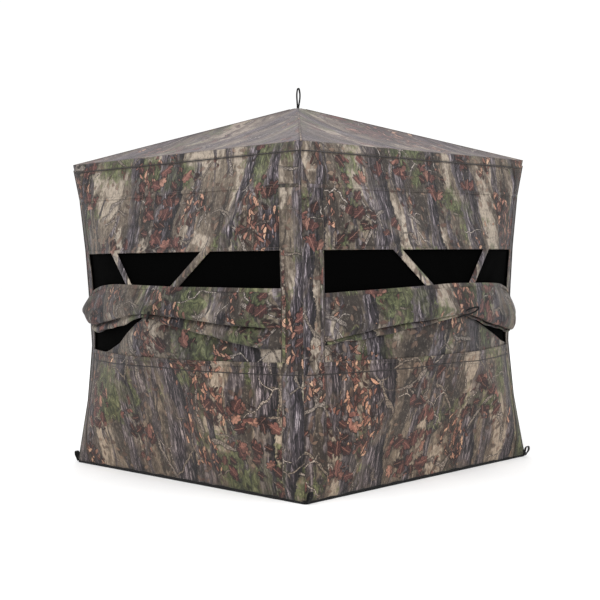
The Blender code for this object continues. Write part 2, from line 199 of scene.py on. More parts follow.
def scatter(N, P, per_m, shift, warp, rnd=0.85, turn=None):
    """Scattered cells: local coordinates turned at random (or about one direction), and three random values."""
    v = N.v("ADD", N.v("MULTIPLY", P, (per_m, per_m, 0)), shift + (0,))
    wob = N.v("MULTIPLY", N.v("SUBTRACT", N.noise(v, 3.6, 3, 0.6, colour=True), (0.5, 0.5, 0.5)), (warp * 2, warp * 2, 0))
    q = N.voro(v, 1.0, "F1", rnd)
    d = N.v("ADD", N.v("SUBTRACT", v, q.outputs["Position"]), wob)
    dx, dy, _ = N.xyz(d)
    cr = N.node("ShaderNodeSeparateColor")
    N.put(q.outputs["Color"], cr.inputs[0])
    r, g, b = cr.outputs[0], cr.outputs[1], cr.outputs[2]
    a = N.m("MULTIPLY", r, 6.2832) if turn is None else N.m("ADD", N.m("MULTIPLY", r, turn[1]), turn[0] - turn[1] / 2)
    ca, sa = N.m("COSINE", a), N.m("SINE", a)
    x = N.m("ADD", N.m("MULTIPLY", dx, ca), N.m("MULTIPLY", dy, sa))
    y = N.m("SUBTRACT", N.m("MULTIPLY", dy, ca), N.m("MULTIPLY", dx, sa))
    return x, y, r, g, b


def oak(N, P, per_m, shift, density, size=0.36, elong=0.72, lobes=7, depth=0.46, warp=0.045):
    """Lobed oak leaves: mask, dark halo, across, along, random value, depth inside the outline."""
    x, y, r, g, b = scatter(N, P, per_m, shift, warp)
    y = N.m("ADD", y, N.m("MULTIPLY", N.m("MULTIPLY", x, x), 0.30))
    xx = N.m("MULTIPLY", x, elong)
    th = N.m("ARCTAN2", y, xx)
    rad = N.m("SQRT", N.m("ADD", N.m("MULTIPLY", xx, xx), N.m("MULTIPLY", y, y)))
    lob = N.m("POWER", N.m("ABSOLUTE", N.m("COSINE", N.m("MULTIPLY", th, lobes / 2))), 0.75)
    rr = N.m("MULTIPLY", N.m("ADD", N.m("MULTIPLY", lob, depth), 1 - depth), N.m("ADD", N.m("MULTIPLY", N.m("COSINE", th), 0.16), 0.84))
    rr = N.m("MULTIPLY", rr, N.m("MULTIPLY", N.m("ADD", N.m("MULTIPLY", b, 0.34), 0.70), size))
    inside = N.m("SUBTRACT", rr, rad)
    on = N.m("LESS_THAN", g, density)
    return N.m("MULTIPLY", N.step(inside, 0.0, 0.018), on), N.m("MULTIPLY", N.step(inside, -0.085, 0.0), on), y, x, b, inside


def blades(N, P, per_m, shift, density, length=0.9, width=0.15, turn=None, warp=0.05):
    """Narrow dry leaves and grass blades."""
    x, y, r, g, b = scatter(N, P, per_m, shift, warp, 0.9, turn)
    y = N.m("ADD", y, N.m("MULTIPLY", N.m("MULTIPLY", x, x), 0.40))
    t = N.m("ADD", N.m("DIVIDE", x, length), 0.5, clamp=True)
    w = N.m("MULTIPLY", N.m("POWER", N.m("SINE", N.m("MULTIPLY", t, math.pi)), 0.8), width)
    inside = N.m("SUBTRACT", w, N.m("ABSOLUTE", y))
    on = N.m("LESS_THAN", g, density)
    return N.m("MULTIPLY", N.step(inside, 0.0, 0.03), on), N.m("MULTIPLY", N.step(inside, -0.10, 0.0), on), y, b


def camo(name, haze_and_toplight=0.0, moss=0.0, tone=1.0):
    """Generic woodland print on coated polyester, drawn in metres on the UV map."""
    N = Nodes(name)
    P = N.uv()
    x, z, _ = N.xyz(P)
    fine = N.noise(N.vec(x, N.m("MULTIPLY", z, 0.60)), 70.0, 5, 0.74)
    grit = N.noise(N.vec(x, N.m("MULTIPLY", z, 0.75)), 150.0, 3, 0.7)
    strand = N.noise(N.vec(x, N.m("MULTIPLY", z, 0.16)), 40.0, 4, 0.66, 0.5)
    cloud = N.noise(P, 2.6, 4, 0.58)
    # pale forest floor and far haze, streaked upright
    base = N.ramp(cloud, [(0.30, lin(98, 88, 76)), (0.45, lin(124, 111, 94)), (0.57, lin(141, 128, 108)), (0.72, lin(158, 148, 132))])
    base = N.mix(N.m("MULTIPLY", N.step(strand, 0.50, 0.62), 0.28), base, lin(86, 76, 70))
    base = N.mix(N.m("MULTIPLY", N.step(strand, 0.46, 0.34), 0.28), base, lin(176, 165, 148))
    # deep gaps and pale clearings between the trees
    gap = N.noise(N.vec(N.m("ADD", x, 3.3), N.m("MULTIPLY", z, 0.42)), 5.2, 4, 0.62, 0.4)
    base = N.mix(N.m("MULTIPLY", N.step(gap, 0.53, 0.60), 0.70), base, lin(60, 53, 50))
    base = N.mix(N.m("MULTIPLY", N.step(gap, 0.46, 0.39), 0.66), base, lin(190, 178, 158))
    # far trunks, soft edged
    wx = N.m("MULTIPLY", N.m("SUBTRACT", N.noise(P, 2.2, 3, 0.55), 0.5), 0.20)
    far = N.noise(N.vec(N.m("ADD", x, wx), N.m("MULTIPLY", z, 0.10)), 7.4, 3, 0.6)
    fcol = N.ramp(strand, [(0.36, lin(54, 49, 52)), (0.50, lin(92, 84, 88)), (0.64, lin(150, 141, 143))])
    base = N.mix(N.m("MULTIPLY", N.step(far, 0.545, 0.562), 0.86), base, fcol)
    base = N.mix(N.m("MULTIPLY", N.step(fine, 0.46, 0.64), 0.36), base, lin(58, 50, 45))
    base = N.mix(N.m("MULTIPLY", N.step(fine, 0.44, 0.29), 0.40), base, lin(190, 180, 164))
    # leaf litter
    for s, sh, den in ((24.0, (3.1, 8.2), 0.28), (17.0, (9.7, 1.4), 0.18)):
        mk, halo, yy, rb = blades(N, P, s, sh, den, 0.9, 0.20)
        col = N.ramp(rb, [(0.0, lin(86, 62, 48)), (0.35, lin(128, 98, 76)), (0.7, lin(170, 142, 114)), (1.0, lin(104, 60, 44))])
        base = N.mix(N.m("MULTIPLY", halo, 0.28), base, lin(58, 48, 42))
        base = N.mix(N.m("MULTIPLY", mk, 0.50), base, col)
    # soft green undergrowth, feathered by its own leaves
    gn = N.noise(N.v("ADD", P, (7.3, 2.9, 0)), 2.5, 4, 0.62)
    tuft = N.noise(N.vec(x, N.m("MULTIPLY", z, 0.55)), 34.0, 4, 0.75, 0.8)
    gm = N.step(N.m("ADD", gn, N.m("MULTIPLY", N.m("SUBTRACT", tuft, 0.5), 0.30)), 0.535 - moss, 0.63 - moss)
    green = N.ramp(tuft, [(0.32, lin(48, 52, 30)), (0.46, lin(82, 90, 50)), (0.56, lin(112, 120, 72)), (0.70, lin(150, 154, 108))])
    base = N.mix(N.m("MULTIPLY", gm, 0.80), base, green)
    # standing trunks: furrowed bark, a shaded side and a lit side
    bv = N.vec(N.m("MULTIPLY", N.m("ADD", x, N.m("MULTIPLY", N.noise(P, 7.0, 3, 0.6), 0.050)), 66.0), N.m("MULTIPLY", z, 9.0))
    furrow = N.voro(bv, 1.0, "DISTANCE_TO_EDGE", 1.0).outputs["Distance"]
    ridge = N.noise(N.vec(x, N.m("MULTIPLY", z, 0.11)), 78.0, 5, 0.7, 0.5)
    bcol = N.ramp(ridge, [(0.34, lin(44, 39, 44)), (0.46, lin(84, 76, 82)), (0.55, lin(120, 111, 116)), (0.66, lin(178, 168, 170))])
    bcol = N.mix(N.m("MULTIPLY", N.step(furrow, 0.16, 0.02), 0.72), bcol, lin(38, 33, 34))
    bcol = N.mix(N.m("MULTIPLY", N.step(grit, 0.50, 0.66), 0.35), bcol, lin(54, 48, 49))
    wrap = N.m("MODULO", N.m("ADD", x, 40.0), 2.90)
    trunks = ((0.14, 0.105, 0.05, 1.0), (0.47, 0.165, -0.04, 1.0), (0.86, 0.070, 0.17, 1.0), (1.17, 0.130, 0.02, 1.0),
              (1.52, 0.075, -0.12, 1.0), (1.86, 0.175, 0.04, 1.0), (2.24, 0.060, 0.14, 1.0), (2.58, 0.120, -0.03, 1.0))
    bend = N.m("MULTIPLY", N.m("SUBTRACT", N.noise(N.vec(N.m("MULTIPLY", x, 0.8), z), 1.6, 2, 0.5), 0.5), 0.22)
    rag = N.m("MULTIPLY", N.m("SUBTRACT", N.noise(P, 30.0, 3, 0.7), 0.5), 0.034)
    veil = N.step(N.noise(N.v("ADD", P, (1.3, 6.6, 0)), 3.2, 3, 0.6), 0.40, 0.50)
    for cx, wd, lean, dens in trunks:
        dist = N.m("DIVIDE", N.m("ADD", N.m("SUBTRACT", N.m("SUBTRACT", wrap, cx), N.m("MULTIPLY", N.m("SUBTRACT", z, 0.9), lean)), N.m("ADD", bend, rag)), wd / 2)
        mk = N.m("MULTIPLY", N.step(N.m("ABSOLUTE", dist), 1.02, 0.95), N.m("ADD", N.m("MULTIPLY", veil, 0.50), 0.50))
        shade = N.mix(N.m("MULTIPLY", N.step(dist, 0.10, 1.0), 0.74), bcol, lin(30, 25, 28))
        shade = N.mix(N.m("MULTIPLY", N.step(dist, -0.35, -0.95), 0.26), shade, lin(168, 158, 150))
        base = N.mix(N.m("MULTIPLY", mk, dens), base, shade)
    # crossing branches: a warped net, broken up, pale above and dark beneath
    for s, sh, wid, th, pale in ((1.7, (1.7, 4.4), 0.022, 0.50, (168, 158, 146)), (3.1, (8.8, 6.1), 0.012, 0.52, (156, 144, 128)),
                                 (4.2, (5.1, 0.7), 0.007, 0.55, (186, 176, 164))):
        wob = N.v("MULTIPLY", N.v("SUBTRACT", N.noise(P, 3.0, 3, 0.5, colour=True), (0.5, 0.5, 0.5)), (0.22, 0.22, 0))
        q = N.v("ADD", N.v("ADD", P, wob), sh + (0,))
        de = N.voro(q, s, "DISTANCE_TO_EDGE", 1.0).outputs["Distance"]
        gate = N.step(N.noise(N.v("ADD", P, sh + (0,)), 3.1, 2, 0.5), th, th + 0.06)
        line = N.m("MULTIPLY", N.step(de, wid * s * 0.50, wid * s * 0.30), gate)
        dark = N.m("MULTIPLY", N.step(de, wid * s * 0.95, wid * s * 0.42), gate)
        grain = N.mix(N.step(grit, 0.42, 0.58), lin(*pale), lin(98, 88, 80))
        base = N.mix(N.m("MULTIPLY", dark, 0.62), base, lin(40, 33, 31))
        base = N.mix(N.m("MULTIPLY", line, 0.94), base, grain)
    # heaps of bright dry blades, mostly upright, over dark gaps
    hp = N.noise(N.v("ADD", P, (12.2, 3.3, 0)), 2.3, 3, 0.6)
    heap = N.step(hp, 0.570, 0.65)
    base = N.mix(N.m("MULTIPLY", N.m("MULTIPLY", heap, N.step(tuft, 0.40, 0.56)), 0.60), base, lin(56, 34, 26))
    for s, sh, cols in ((15.0, (2.6, 7.7), ((104, 66, 48), (150, 104, 74), (196, 150, 110), (208, 172, 132))),
                        (19.0, (6.1, 0.4), ((84, 52, 42), (132, 84, 62), (176, 126, 92), (196, 158, 118))),
                        (25.0, (1.1, 3.4), ((70, 44, 36), (118, 74, 56), (160, 112, 82), (188, 150, 112)))):
        mk, halo, yy, rb = blades(N, P, s, sh, N.m("MULTIPLY", heap, 0.90), 0.95, 0.15, (1.57, 2.1), 0.10)
        col = N.ramp(rb, [(0.05, lin(*cols[0])), (0.38, lin(*cols[1])), (0.7, lin(*cols[2])), (1.0, lin(*cols[3]))])
        col = N.mix(N.m("MULTIPLY", N.step(grit, 0.44, 0.62), 0.45), col, lin(90, 48, 34))
        base = N.mix(N.m("MULTIPLY", halo, 0.76), base, lin(44, 28, 22))
        base = N.mix(N.m("MULTIPLY", mk, 0.95), base, col)
    # clusters of lobed oak leaves, each over its own shadow
    cl = N.noise(N.v("ADD", P, (2.2, 5.7, 0)), 2.1, 3, 0.6)
    dens = N.m("MULTIPLY", N.step(cl, 0.53, 0.64), 0.80)
    for s, sh, lobes, cols in (
            (11.5, (6.4, 2.2), 7, ((70, 44, 38), (98, 58, 48), (130, 84, 66), (178, 132, 102))),
            (8.6, (0.6, 9.3), 7, ((66, 38, 34), (92, 50, 43), (112, 62, 52), (138, 86, 68))),
            (9.6, (4.9, 4.1), 5, ((72, 42, 37), (100, 56, 47), (126, 72, 58), (160, 108, 82)))):
        mk, halo, yy, xx, rb, ins = oak(N, P, s, sh, dens, lobes=lobes)
        col = N.ramp(rb, [(0.05, lin(*cols[0])), (0.35, lin(*cols[1])), (0.7, lin(*cols[2])), (1.0, lin(*cols[3]))])
        col = N.mix(N.m("MULTIPLY", N.step(fine, 0.44, 0.64), 0.50), col, lin(52, 28, 25))
        rib = N.step(N.m("ABSOLUTE", yy), 0.020, 0.006)
        side = N.step(N.m("ABSOLUTE", N.m("SINE", N.m("MULTIPLY", N.m("SUBTRACT", xx, N.m("MULTIPLY", N.m("ABSOLUTE", yy), 0.9)), 25.0))), 0.20, 0.04)
        col = N.mix(N.m("MULTIPLY", N.m("MAXIMUM", rib, N.m("MULTIPLY", side, 0.6)), 0.50), col, lin(188, 138, 104))
        col = N.mix(N.m("MULTIPLY", N.step(yy, 0.01, 0.14), 0.38), col, lin(46, 24, 22))
        base = N.mix(N.m("MULTIPLY", halo, 0.70), base, lin(30, 24, 22))
        base = N.mix(N.m("MULTIPLY", mk, 0.97), base, col)
    gm_node = N.node("ShaderNodeGamma")
    N.put(base, gm_node.inputs["Color"])
    gm_node.inputs["Gamma"].default_value = 1.48
    hs = N.node("ShaderNodeHueSaturation")
    N.put(gm_node.outputs[0], hs.inputs["Color"])
    hs.inputs["Saturation"].default_value = 0.74
    hs.inputs["Value"].default_value = 1.18
    base = N.mix(1.0, hs.outputs[0], (tone * 1.0, tone * 0.99, tone * 1.03, 1), "MULTIPLY")
    base = N.mix(N.step(z, 0.95, 0.45), base, N.mix(1.0, base, (1.03, 0.955, 0.87, 1), "MULTIPLY"))
    # pale mix on the roof's copy of the print: partly a hazier print, partly painted light falling on the roof from
    # above
    if haze_and_toplight:
        base = N.mix(haze_and_toplight, base, lin(160, 145, 149))
    # a fine plain weave, slightly darker in the gaps as painted shade, and soft creases
    wv = N.m("MULTIPLY", N.m("SINE", N.m("MULTIPLY", x, 2 * math.pi / 0.0016)), N.m("SINE", N.m("MULTIPLY", z, 2 * math.pi / 0.0016)))
    base = N.mix(N.m("MULTIPLY", N.step(wv, 0.2, -0.8), 0.10), base, lin(30, 26, 24))
    crease = N.noise(P, 6.0, 5, 0.60, 0.8)
    N.set(Base_Color=base, Roughness=N.m("ADD", N.m("MULTIPLY", fine, 0.16), 0.68), Specular_IOR_Level=0.24,
          Sheen_Weight=0.06, Sheen_Roughness=0.6)
    N.bump(N.m("ADD", N.m("MULTIPLY", wv, 0.10), N.m("MULTIPLY", crease, 3.0)), 0.6, 0.0026)
    return N.mat


def cloth_black(name, rgb=(9, 9, 10), scale=0.0018):
    """Woven black fabric or webbing, in object space."""
    N = Nodes(name)
    x, y, z = N.xyz(N.obj())
    s = 2 * math.pi / scale
    a = N.m("SINE", N.m("MULTIPLY", N.m("ADD", x, y), s))
    b = N.m("SINE", N.m("MULTIPLY", N.m("ADD", z, N.m("MULTIPLY", N.m("SUBTRACT", x, y), 0.5)), s))
    wv = N.m("MULTIPLY", a, b)
    wear = N.noise(N.obj(), 60, 4, 0.65, dims="3D")
    r, g, bl = rgb
    col = N.ramp(wear, [(0.3, lin(r * 0.6, g * 0.6, bl * 0.6)), (0.6, lin(r, g, bl)), (0.8, lin(r + 14, g + 13, bl + 13))])
    N.set(Base_Color=col, Roughness=N.m("ADD", N.m("MULTIPLY", wear, 0.2), 0.6), Specular_IOR_Level=0.3, Sheen_Weight=0.08)
    N.bump(N.m("ADD", wv, N.m("MULTIPLY", wear, 0.8)), 0.6, 0.0006)
    return N.mat


def lining(name):
    """Black inside coating with faint creases."""
    N = Nodes(name)
    c = N.noise(N.obj(), 9, 4, 0.6, 0.6, dims="3D")
    f = N.noise(N.obj(), 160, 3, 0.6, dims="3D")
    N.set(Base_Color=N.ramp(c, [(0.3, lin(5, 5, 6)), (0.7, lin(11, 11, 12))]), Roughness=N.m("ADD", N.m("MULTIPLY", f, 0.2), 0.62),
          Specular_IOR_Level=0.14)
    N.bump(N.m("ADD", c, N.m("MULTIPLY", f, 0.15)), 0.4, 0.003)
    return N.mat


CAMO = camo("camo_print")
# the roof's copy is lightened by a pale mix: painted light from above together with a hazier print
CAMO_ROOF = camo("camo_print_roof", haze_and_toplight=0.16, tone=0.93)
CAMO_COVER = camo("camo_print_cover", moss=0.070, tone=0.83)
# the sill panel's copy of the print is darkened as a whole (tone 0.77): painted shade beneath the window cover
CAMO_SILL_SHADED = camo("camo_print_sill_shaded", moss=0.02, tone=0.77)
CAMO_STRIP = camo("camo_print_strip", moss=0.01, tone=0.91)
LINING = lining("black_lining")
WEB = cloth_black("black_webbing", (13, 13, 14), 0.0022)
PIPE = cloth_black("dark_piping", (40, 34, 32), 0.0016)


def nylon():
    N = Nodes("hub_nylon")
    n = N.noise(N.obj(), 220, 4, 0.6, dims="3D")
    s = N.noise(N.obj(), 30, 4, 0.65, 0.8, dims="3D")
    N.set(Base_Color=N.ramp(s, [(0.3, lin(16, 16, 17)), (0.7, lin(34, 34, 35))]), Roughness=N.m("ADD", N.m("MULTIPLY", s, 0.3), 0.32),
          Specular_IOR_Level=0.45)
    N.bump(n, 0.35, 0.0004)
    return N.mat


def pole_material(name, centre, reach, tip):
    """Dark pultruded rod, metal ferrule at the hub end, moulded tip at the far end."""
    N = Nodes(name)
    o = N.obj()
    d = N.v("DISTANCE", o, tuple(centre))
    ferrule = N.m("LESS_THAN", d, reach)
    far = N.m("GREATER_THAN", d, tip)
    x, y, z = N.xyz(o)
    streak = N.noise(o, 90, 4, 0.6, 0.4, dims="3D")
    rod = N.ramp(streak, [(0.3, lin(20, 20, 21)), (0.7, lin(42, 41, 40))])
    metal = N.ramp(streak, [(0.3, lin(120, 120, 122)), (0.7, lin(176, 176, 178))])
    col = N.mix(ferrule, rod, metal)
    col = N.mix(far, col, lin(14, 14, 14))
    N.set(Base_Color=col, Metallic=ferrule, Roughness=N.m("ADD", N.m("MULTIPLY", streak, 0.25), 0.25))
    N.bump(streak, 0.3, 0.0003)
    return N.mat


NYLON = nylon()

# ---------------------------------------------------------------- fabric geometry
def sigma(z):
    return np.interp(z, SAG_Z, SAG_M)


def share(u, v):
    return np.maximum(0.0, np.minimum(1 - np.abs(u), 1 - np.abs(v - MID) / MID))


def soft_share(u, v, r=0.020):
    """share(), with its ridges rounded over about 4 cm, as fabric runs over a pole sleeve."""
    a, b = 1 - np.abs(u), 1 - np.abs(v - MID) / MID
    d = a - b
    m = 0.5 * (a + b - np.sqrt(d * d + r * r)) + 0.5 * r * np.exp(-np.abs(d) / r) * 0.0
    near = np.clip(np.minimum(a, b) / 0.10, 0, 1)
    return np.maximum(0.0, np.where(near < 1, np.minimum(a, b) * (1 - near) + m * near, m))


def surf(wall, u, v, off=0.0, ripple=1.0):
    """Points on a wall's fabric, from arrays of u (share of the half width) and v (height)."""
    n_vec, e_vec = WALLS[wall]
    u, v = np.asarray(u, float), np.asarray(v, float)
    tx, tz = 1 - np.abs(u), 1 - np.abs(v - MID) / MID
    pull = sigma(v) * np.maximum(0.0, 1 - tx / np.maximum(tz, 1e-6)) ** 2.8
    x = u * h - np.sign(u) * pull
    s = soft_share(u, v)
    # facets sag a little between the poles; fabric ripples radiate from the hub and the corners
    lean = np.abs(tx - tz)
    sag = 0.020 * np.clip(lean, 0, 0.5) * np.clip(np.minimum(tx, tz) * 4, 0, 1)
    ang = np.arctan2((v - MID), u * h + 1e-9)
    seed = {"front": 0.3, "left": 1.9, "back": 4.1, "right": 2.7}[wall]
    rad = np.hypot(u * h, v - MID)
    rip = 0.0016 * np.sin(ang * 23 + seed * 3 + 1.5 * np.sin(rad * 6 + seed)) * np.exp(-((rad - 0.35) / 0.30) ** 2)
    rip += 0.0030 * np.sin(ang * 9 + seed * 7) * np.sin(np.clip(rad, 0, 1.2) * 4.1 + seed) * np.clip(np.minimum(tx, tz) * 6, 0, 1)
    corner = np.hypot((1 - np.abs(u)) * h, np.minimum(v, EAVE - v))
    rip += 0.0020 * np.sin(np.arctan2(np.minimum(v, EAVE - v), (1 - np.abs(u)) * h + 1e-9) * 17 + seed) * np.exp(-((corner - 0.16) / 0.12) ** 2)
    n = BULGE * s - pull - sag + ripple * rip * np.clip(np.minimum(tx, tz) * 12, 0, 1)
    base = h + n + off
    return (e_vec[None] * x.reshape(-1, 1) + n_vec[None] * base.reshape(-1, 1) + UP[None] * v.reshape(-1, 1)).reshape(u.shape + (3,))


WALL_U0 = {"front": 0.0, "left": -1.86, "back": 3.70, "right": 1.88}


def wall_uv(wall, u, v):
    return np.stack([WALL_U0[wall] + np.asarray(u) * h, np.asarray(v) + 0 * np.asarray(u)], -1)


def mesh_object(name, verts, faces, uvs, mats, smooth=True, mat_index=None):
    """verts (n,3), faces, uvs (n,2) per vertex."""
    me = bpy.data.meshes.new(name)
    me.from_pydata([tuple(p) for p in verts], [], [tuple(int(i) for i in f) for f in faces])
    lay = me.uv_layers.new(name="UVMap")
    loops = np.empty(len(me.loops), np.int32)
    me.loops.foreach_get("vertex_index", loops)
    lay.data.foreach_set("uv", np.asarray(uvs, np.float32)[loops].ravel())
    for m in mats:
        me.materials.append(m)
    if mat_index is not None:
        me.polygons.foreach_set("material_index", np.asarray(mat_index, np.int32))
    if smooth:
        me.polygons.foreach_set("use_smooth", np.ones(len(me.polygons), bool))
    me.update()
    ob = bpy.data.objects.new(name, me)
    bpy.context.scene.collection.objects.link(ob)
    ob["w"] = 0
    del ob["w"]
    return ob


def grid_faces(ny, nx, keep=None, closed_x=False):
    f = []
    for j in range(ny - 1):
        for i in range(nx - 1 + (1 if closed_x else 0)):
            if keep is None or keep(j, i):
                i2 = (i + 1) % nx
                f.append((j * nx + i, j * nx + i2, (j + 1) * nx + i2, (j + 1) * nx + i))
    return f


def compact(verts, faces, *arrays):
    used = sorted({i for f in faces for i in f})
    new = {o: k for k, o in enumerate(used)}
    return [np.asarray(verts)[used], [tuple(new[i] for i in f) for f in faces]] + [np.asarray(a)[used] for a in arrays]


def solidify(ob, thickness=0.0010, offset=-1.0, inner=1):
    s = ob.modifiers.new("Thickness", "SOLIDIFY")
    s.thickness, s.offset = thickness, offset
    s.material_offset, s.material_offset_rim = inner, 0
    s.use_rim = True
    s.use_even_offset = False
    return ob


def wall_blend(ob, joint_body=None):
    """Bakes the object's transform into its mesh."""
    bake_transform(ob)


def roof_blend(ob):
    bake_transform(ob)


def spaced(points, step):
    """Breakpoints filled in at about this step."""
    out = [points[0]]
    for a, b in zip(points, points[1:]):
        k = max(1, int(math.ceil(abs(b - a) / step)))
        out += list(a + (b - a) * np.arange(1, k + 1) / k)
    return np.array(out)


def wall_skin(wall):
    """The wall's outer fabric, with its window cut out where it has one."""
    has_window = wall != "back"
    us = spaced([-STRIP_U, 0, STRIP_U], 0.020)
    vs = spaced([0.012, SILL, WIN_TOP, EAVE], 0.020)
    U, Vv = np.meshgrid(us, vs)
    P = surf(wall, U, Vv)
    uv = wall_uv(wall, U, Vv)
    wt = share(U, Vv)
    nx = len(us)

    def keep(j, i):
        u, v = (us[i] + us[i + 1]) / 2, (vs[j] + vs[j + 1]) / 2
        if has_window:
            return not (abs(u) < STRIP_U and SILL < v < WIN_TOP)
        return True

    f = grid_faces(len(vs), nx, keep)
    verts, f, uv, wt = compact(P.reshape(-1, 3), f, uv.reshape(-1, 2), wt.ravel())
    ob = mesh_object(f"{wall}_wall_skin", verts, f, uv, [CAMO, LINING])
    solidify(ob)
    return ob


def strip_skin(wall, side):
    """The corner strip's half on this wall, lapped over the wall's edge, full height."""
    us = side * spaced([STRIP_U - 0.008, 1.0], 0.016)
    if side < 0:
        us = us[::-1]
    vs = spaced([0.012, SILL, WIN_TOP, EAVE], 0.020)
    U, Vv = np.meshgrid(us, vs)
    lap = 0.0014 * np.clip((1.0 - np.abs(U)) / 0.05, 0, 1)
    P = surf(wall, U, Vv, lap)
    uv = wall_uv(wall, U, Vv) + np.array([0.43 * side + 1.31, 0.37 + 0.11 * side])
    ob = mesh_object(f"{wall}_strip_{'left' if side < 0 else 'right'}", P.reshape(-1, 3), grid_faces(len(vs), len(us)), uv.reshape(-1, 2), [CAMO_STRIP, LINING])
    solidify(ob)
    return ob


def surface_band(name, wall, us, vs, width, lift, mat, thick=0.0012, cross=5, crown=0.0006, uvscale=1.0, camo_uv=False):
    """A tape or sleeve laid on the wall along a path of (u, v) points."""
    us, vs = np.asarray(us, float), np.asarray(vs, float)
    path = np.stack([us * h, vs], -1)
    tan = np.gradient(path, axis=0)
    tan /= np.maximum(np.linalg.norm(tan, axis=1, keepdims=True), 1e-9)
    nor = np.stack([-tan[:, 1], tan[:, 0]], -1)
    k = np.linspace(-1, 1, cross)
    Q = path[:, None] + nor[:, None] * (k[None, :, None] * width / 2)
    U, Vv = Q[..., 0] / h, Q[..., 1]
    off = lift + crown * (1 - k ** 2)
    U = np.clip(U, -1, 1)
    P = surf(wall, U, Vv, off[None, :] + 0 * U)
    run = np.concatenate([[0], np.cumsum(np.linalg.norm(np.diff(path, axis=0), axis=1))])
    uv = wall_uv(wall, U, Vv) if camo_uv else np.stack([k[None, :] * width / 2 + 0 * U, run[:, None] + 0 * U], -1)
    f = grid_faces(len(us), cross)
    ob = mesh_object(name, P.reshape(-1, 3), f, uv.reshape(-1, 2), [mat, mat])
    solidify(ob, thick, 0.0, 0)
    return ob


for wall in WALLS:
    sk = wall_skin(wall)
    if wall != "back":
        wall_blend(sk)
    for side in (-1, 1):
        wall_blend(strip_skin(wall, side))


# ---------------------------------------------------------------- inner sill panels, tented up to the hub
def sill_panel(wall):
    """A second layer that rises from behind the lower panel to the hub."""
    us = spaced([-0.90, 0, 0.90], 0.022)
    rows = 13
    t = np.linspace(0, 1, rows)
    near = np.interp(np.abs(us), [0, 0.04, 0.45, 0.80, 0.90], [0.882, 0.872, 0.822, 0.772, 0.760])
    steep = np.interp(np.abs(us), [0, 0.14, 0.375, 0.52, 0.60, 0.90], [0.882, 0.836, 0.722, 0.678, 0.664, 0.658])
    even = np.interp(np.abs(us), [0, 0.16, 0.475, 0.73, 0.90], [0.882, 0.852, 0.765, 0.694, 0.672])
    top = np.where(us < 0, {"front": near, "left": steep, "right": even}[wall], {"front": even, "left": near, "right": even}[wall])
    low = 0.628
    Vv = low + (top[None, :] - low) * t[:, None]
    U = us[None, :] + 0 * Vv
    off = -0.0045 + 0.0022 * np.sin(U * 21 + Vv * 9) * np.clip((Vv - low) * 12, 0, 1)
    P = surf(wall, U, Vv, off)
    ob = mesh_object(f"{wall}_sill_panel", P.reshape(-1, 3), grid_faces(rows, len(us)),
                     (wall_uv(wall, U, Vv) + np.array([0.83, 0.31])).reshape(-1, 2), [CAMO_SILL_SHADED, LINING])
    solidify(ob, 0.0009)
    return ob


# ---------------------------------------------------------------- window covers, let down and slouched
def catmull(P, count):
    """Points along a smooth curve through the rows of P (k, ..., 2)."""
    P = np.asarray(P, float)
    k = len(P)
    ext = np.concatenate([[2 * P[0] - P[1]], P, [2 * P[-1] - P[-2]]])
    out = []
    for s in np.linspace(0, k - 1 - 1e-9, count):
        i = int(s)
        f = s - i
        a, b, c, d = ext[i], ext[i + 1], ext[i + 2], ext[i + 3]
        out.append(0.5 * ((2 * b) + (c - a) * f + (2 * a - 5 * b + 4 * c - d) * f ** 2 + (3 * b - a - 3 * c + d) * f ** 3))
    return np.array(out)


# per cover, stations along the width, u: top edge, crease under the drape, lower edge of the roll below it, and bulge
COVERS = {
    "front": dict(u=[-0.892, -0.74, -0.57, -0.40, -0.20, 0.0, 0.20, 0.45, 0.70, 0.86, 0.942],
                  top=[1.000, 1.007, 1.013, 1.020, 1.028, 1.034, 1.032, 1.027, 1.012, 0.980, 0.946],
                  cre=[0.762, 0.792, 0.826, 0.842, 0.858, 0.878, 0.856, 0.808, 0.774, 0.764, 0.800],
                  low=[0.738, 0.760, 0.780, 0.798, 0.828, 0.862, 0.834, 0.788, 0.754, 0.744, 0.780],
                  bul=[0.014, 0.028, 0.036, 0.038, 0.030, 0.014, 0.032, 0.050, 0.062, 0.066, 0.056]),
    "left": dict(u=[-0.930, -0.86, -0.70, -0.45, -0.20, 0.0, 0.20, 0.40, 0.58, 0.75, 0.892],
                 top=[0.980, 0.994, 1.022, 1.042, 1.044, 1.040, 1.036, 1.034, 1.031, 1.028, 1.027],
                 cre=[0.848, 0.832, 0.822, 0.848, 0.882, 0.896, 0.888, 0.868, 0.852, 0.842, 0.834],
                 low=[0.822, 0.794, 0.772, 0.800, 0.840, 0.872, 0.836, 0.794, 0.762, 0.738, 0.720],
                 bul=[0.046, 0.056, 0.060, 0.048, 0.032, 0.016, 0.032, 0.044, 0.050, 0.042, 0.016]),
}
COVERS["right"] = dict(u=[-0.930, -0.86, -0.70, -0.45, -0.20, 0.0, 0.20, 0.45, 0.70, 0.86, 0.930],
                       top=[1.018, 1.024, 1.030, 1.036, 1.036, 1.034, 1.036, 1.036, 1.030, 1.024, 1.018],
                       cre=[0.840, 0.800, 0.794, 0.832, 0.868, 0.884, 0.868, 0.832, 0.794, 0.800, 0.840],
                       low=[0.820, 0.776, 0.766, 0.802, 0.844, 0.864, 0.846, 0.804, 0.766, 0.776, 0.820],
                       bul=[0.050, 0.058, 0.060, 0.048, 0.034, 0.018, 0.034, 0.048, 0.060, 0.058, 0.050])
TUCKS = {"front": -1, "left": 1, "right": 0}     # the end that passes behind the corner strip


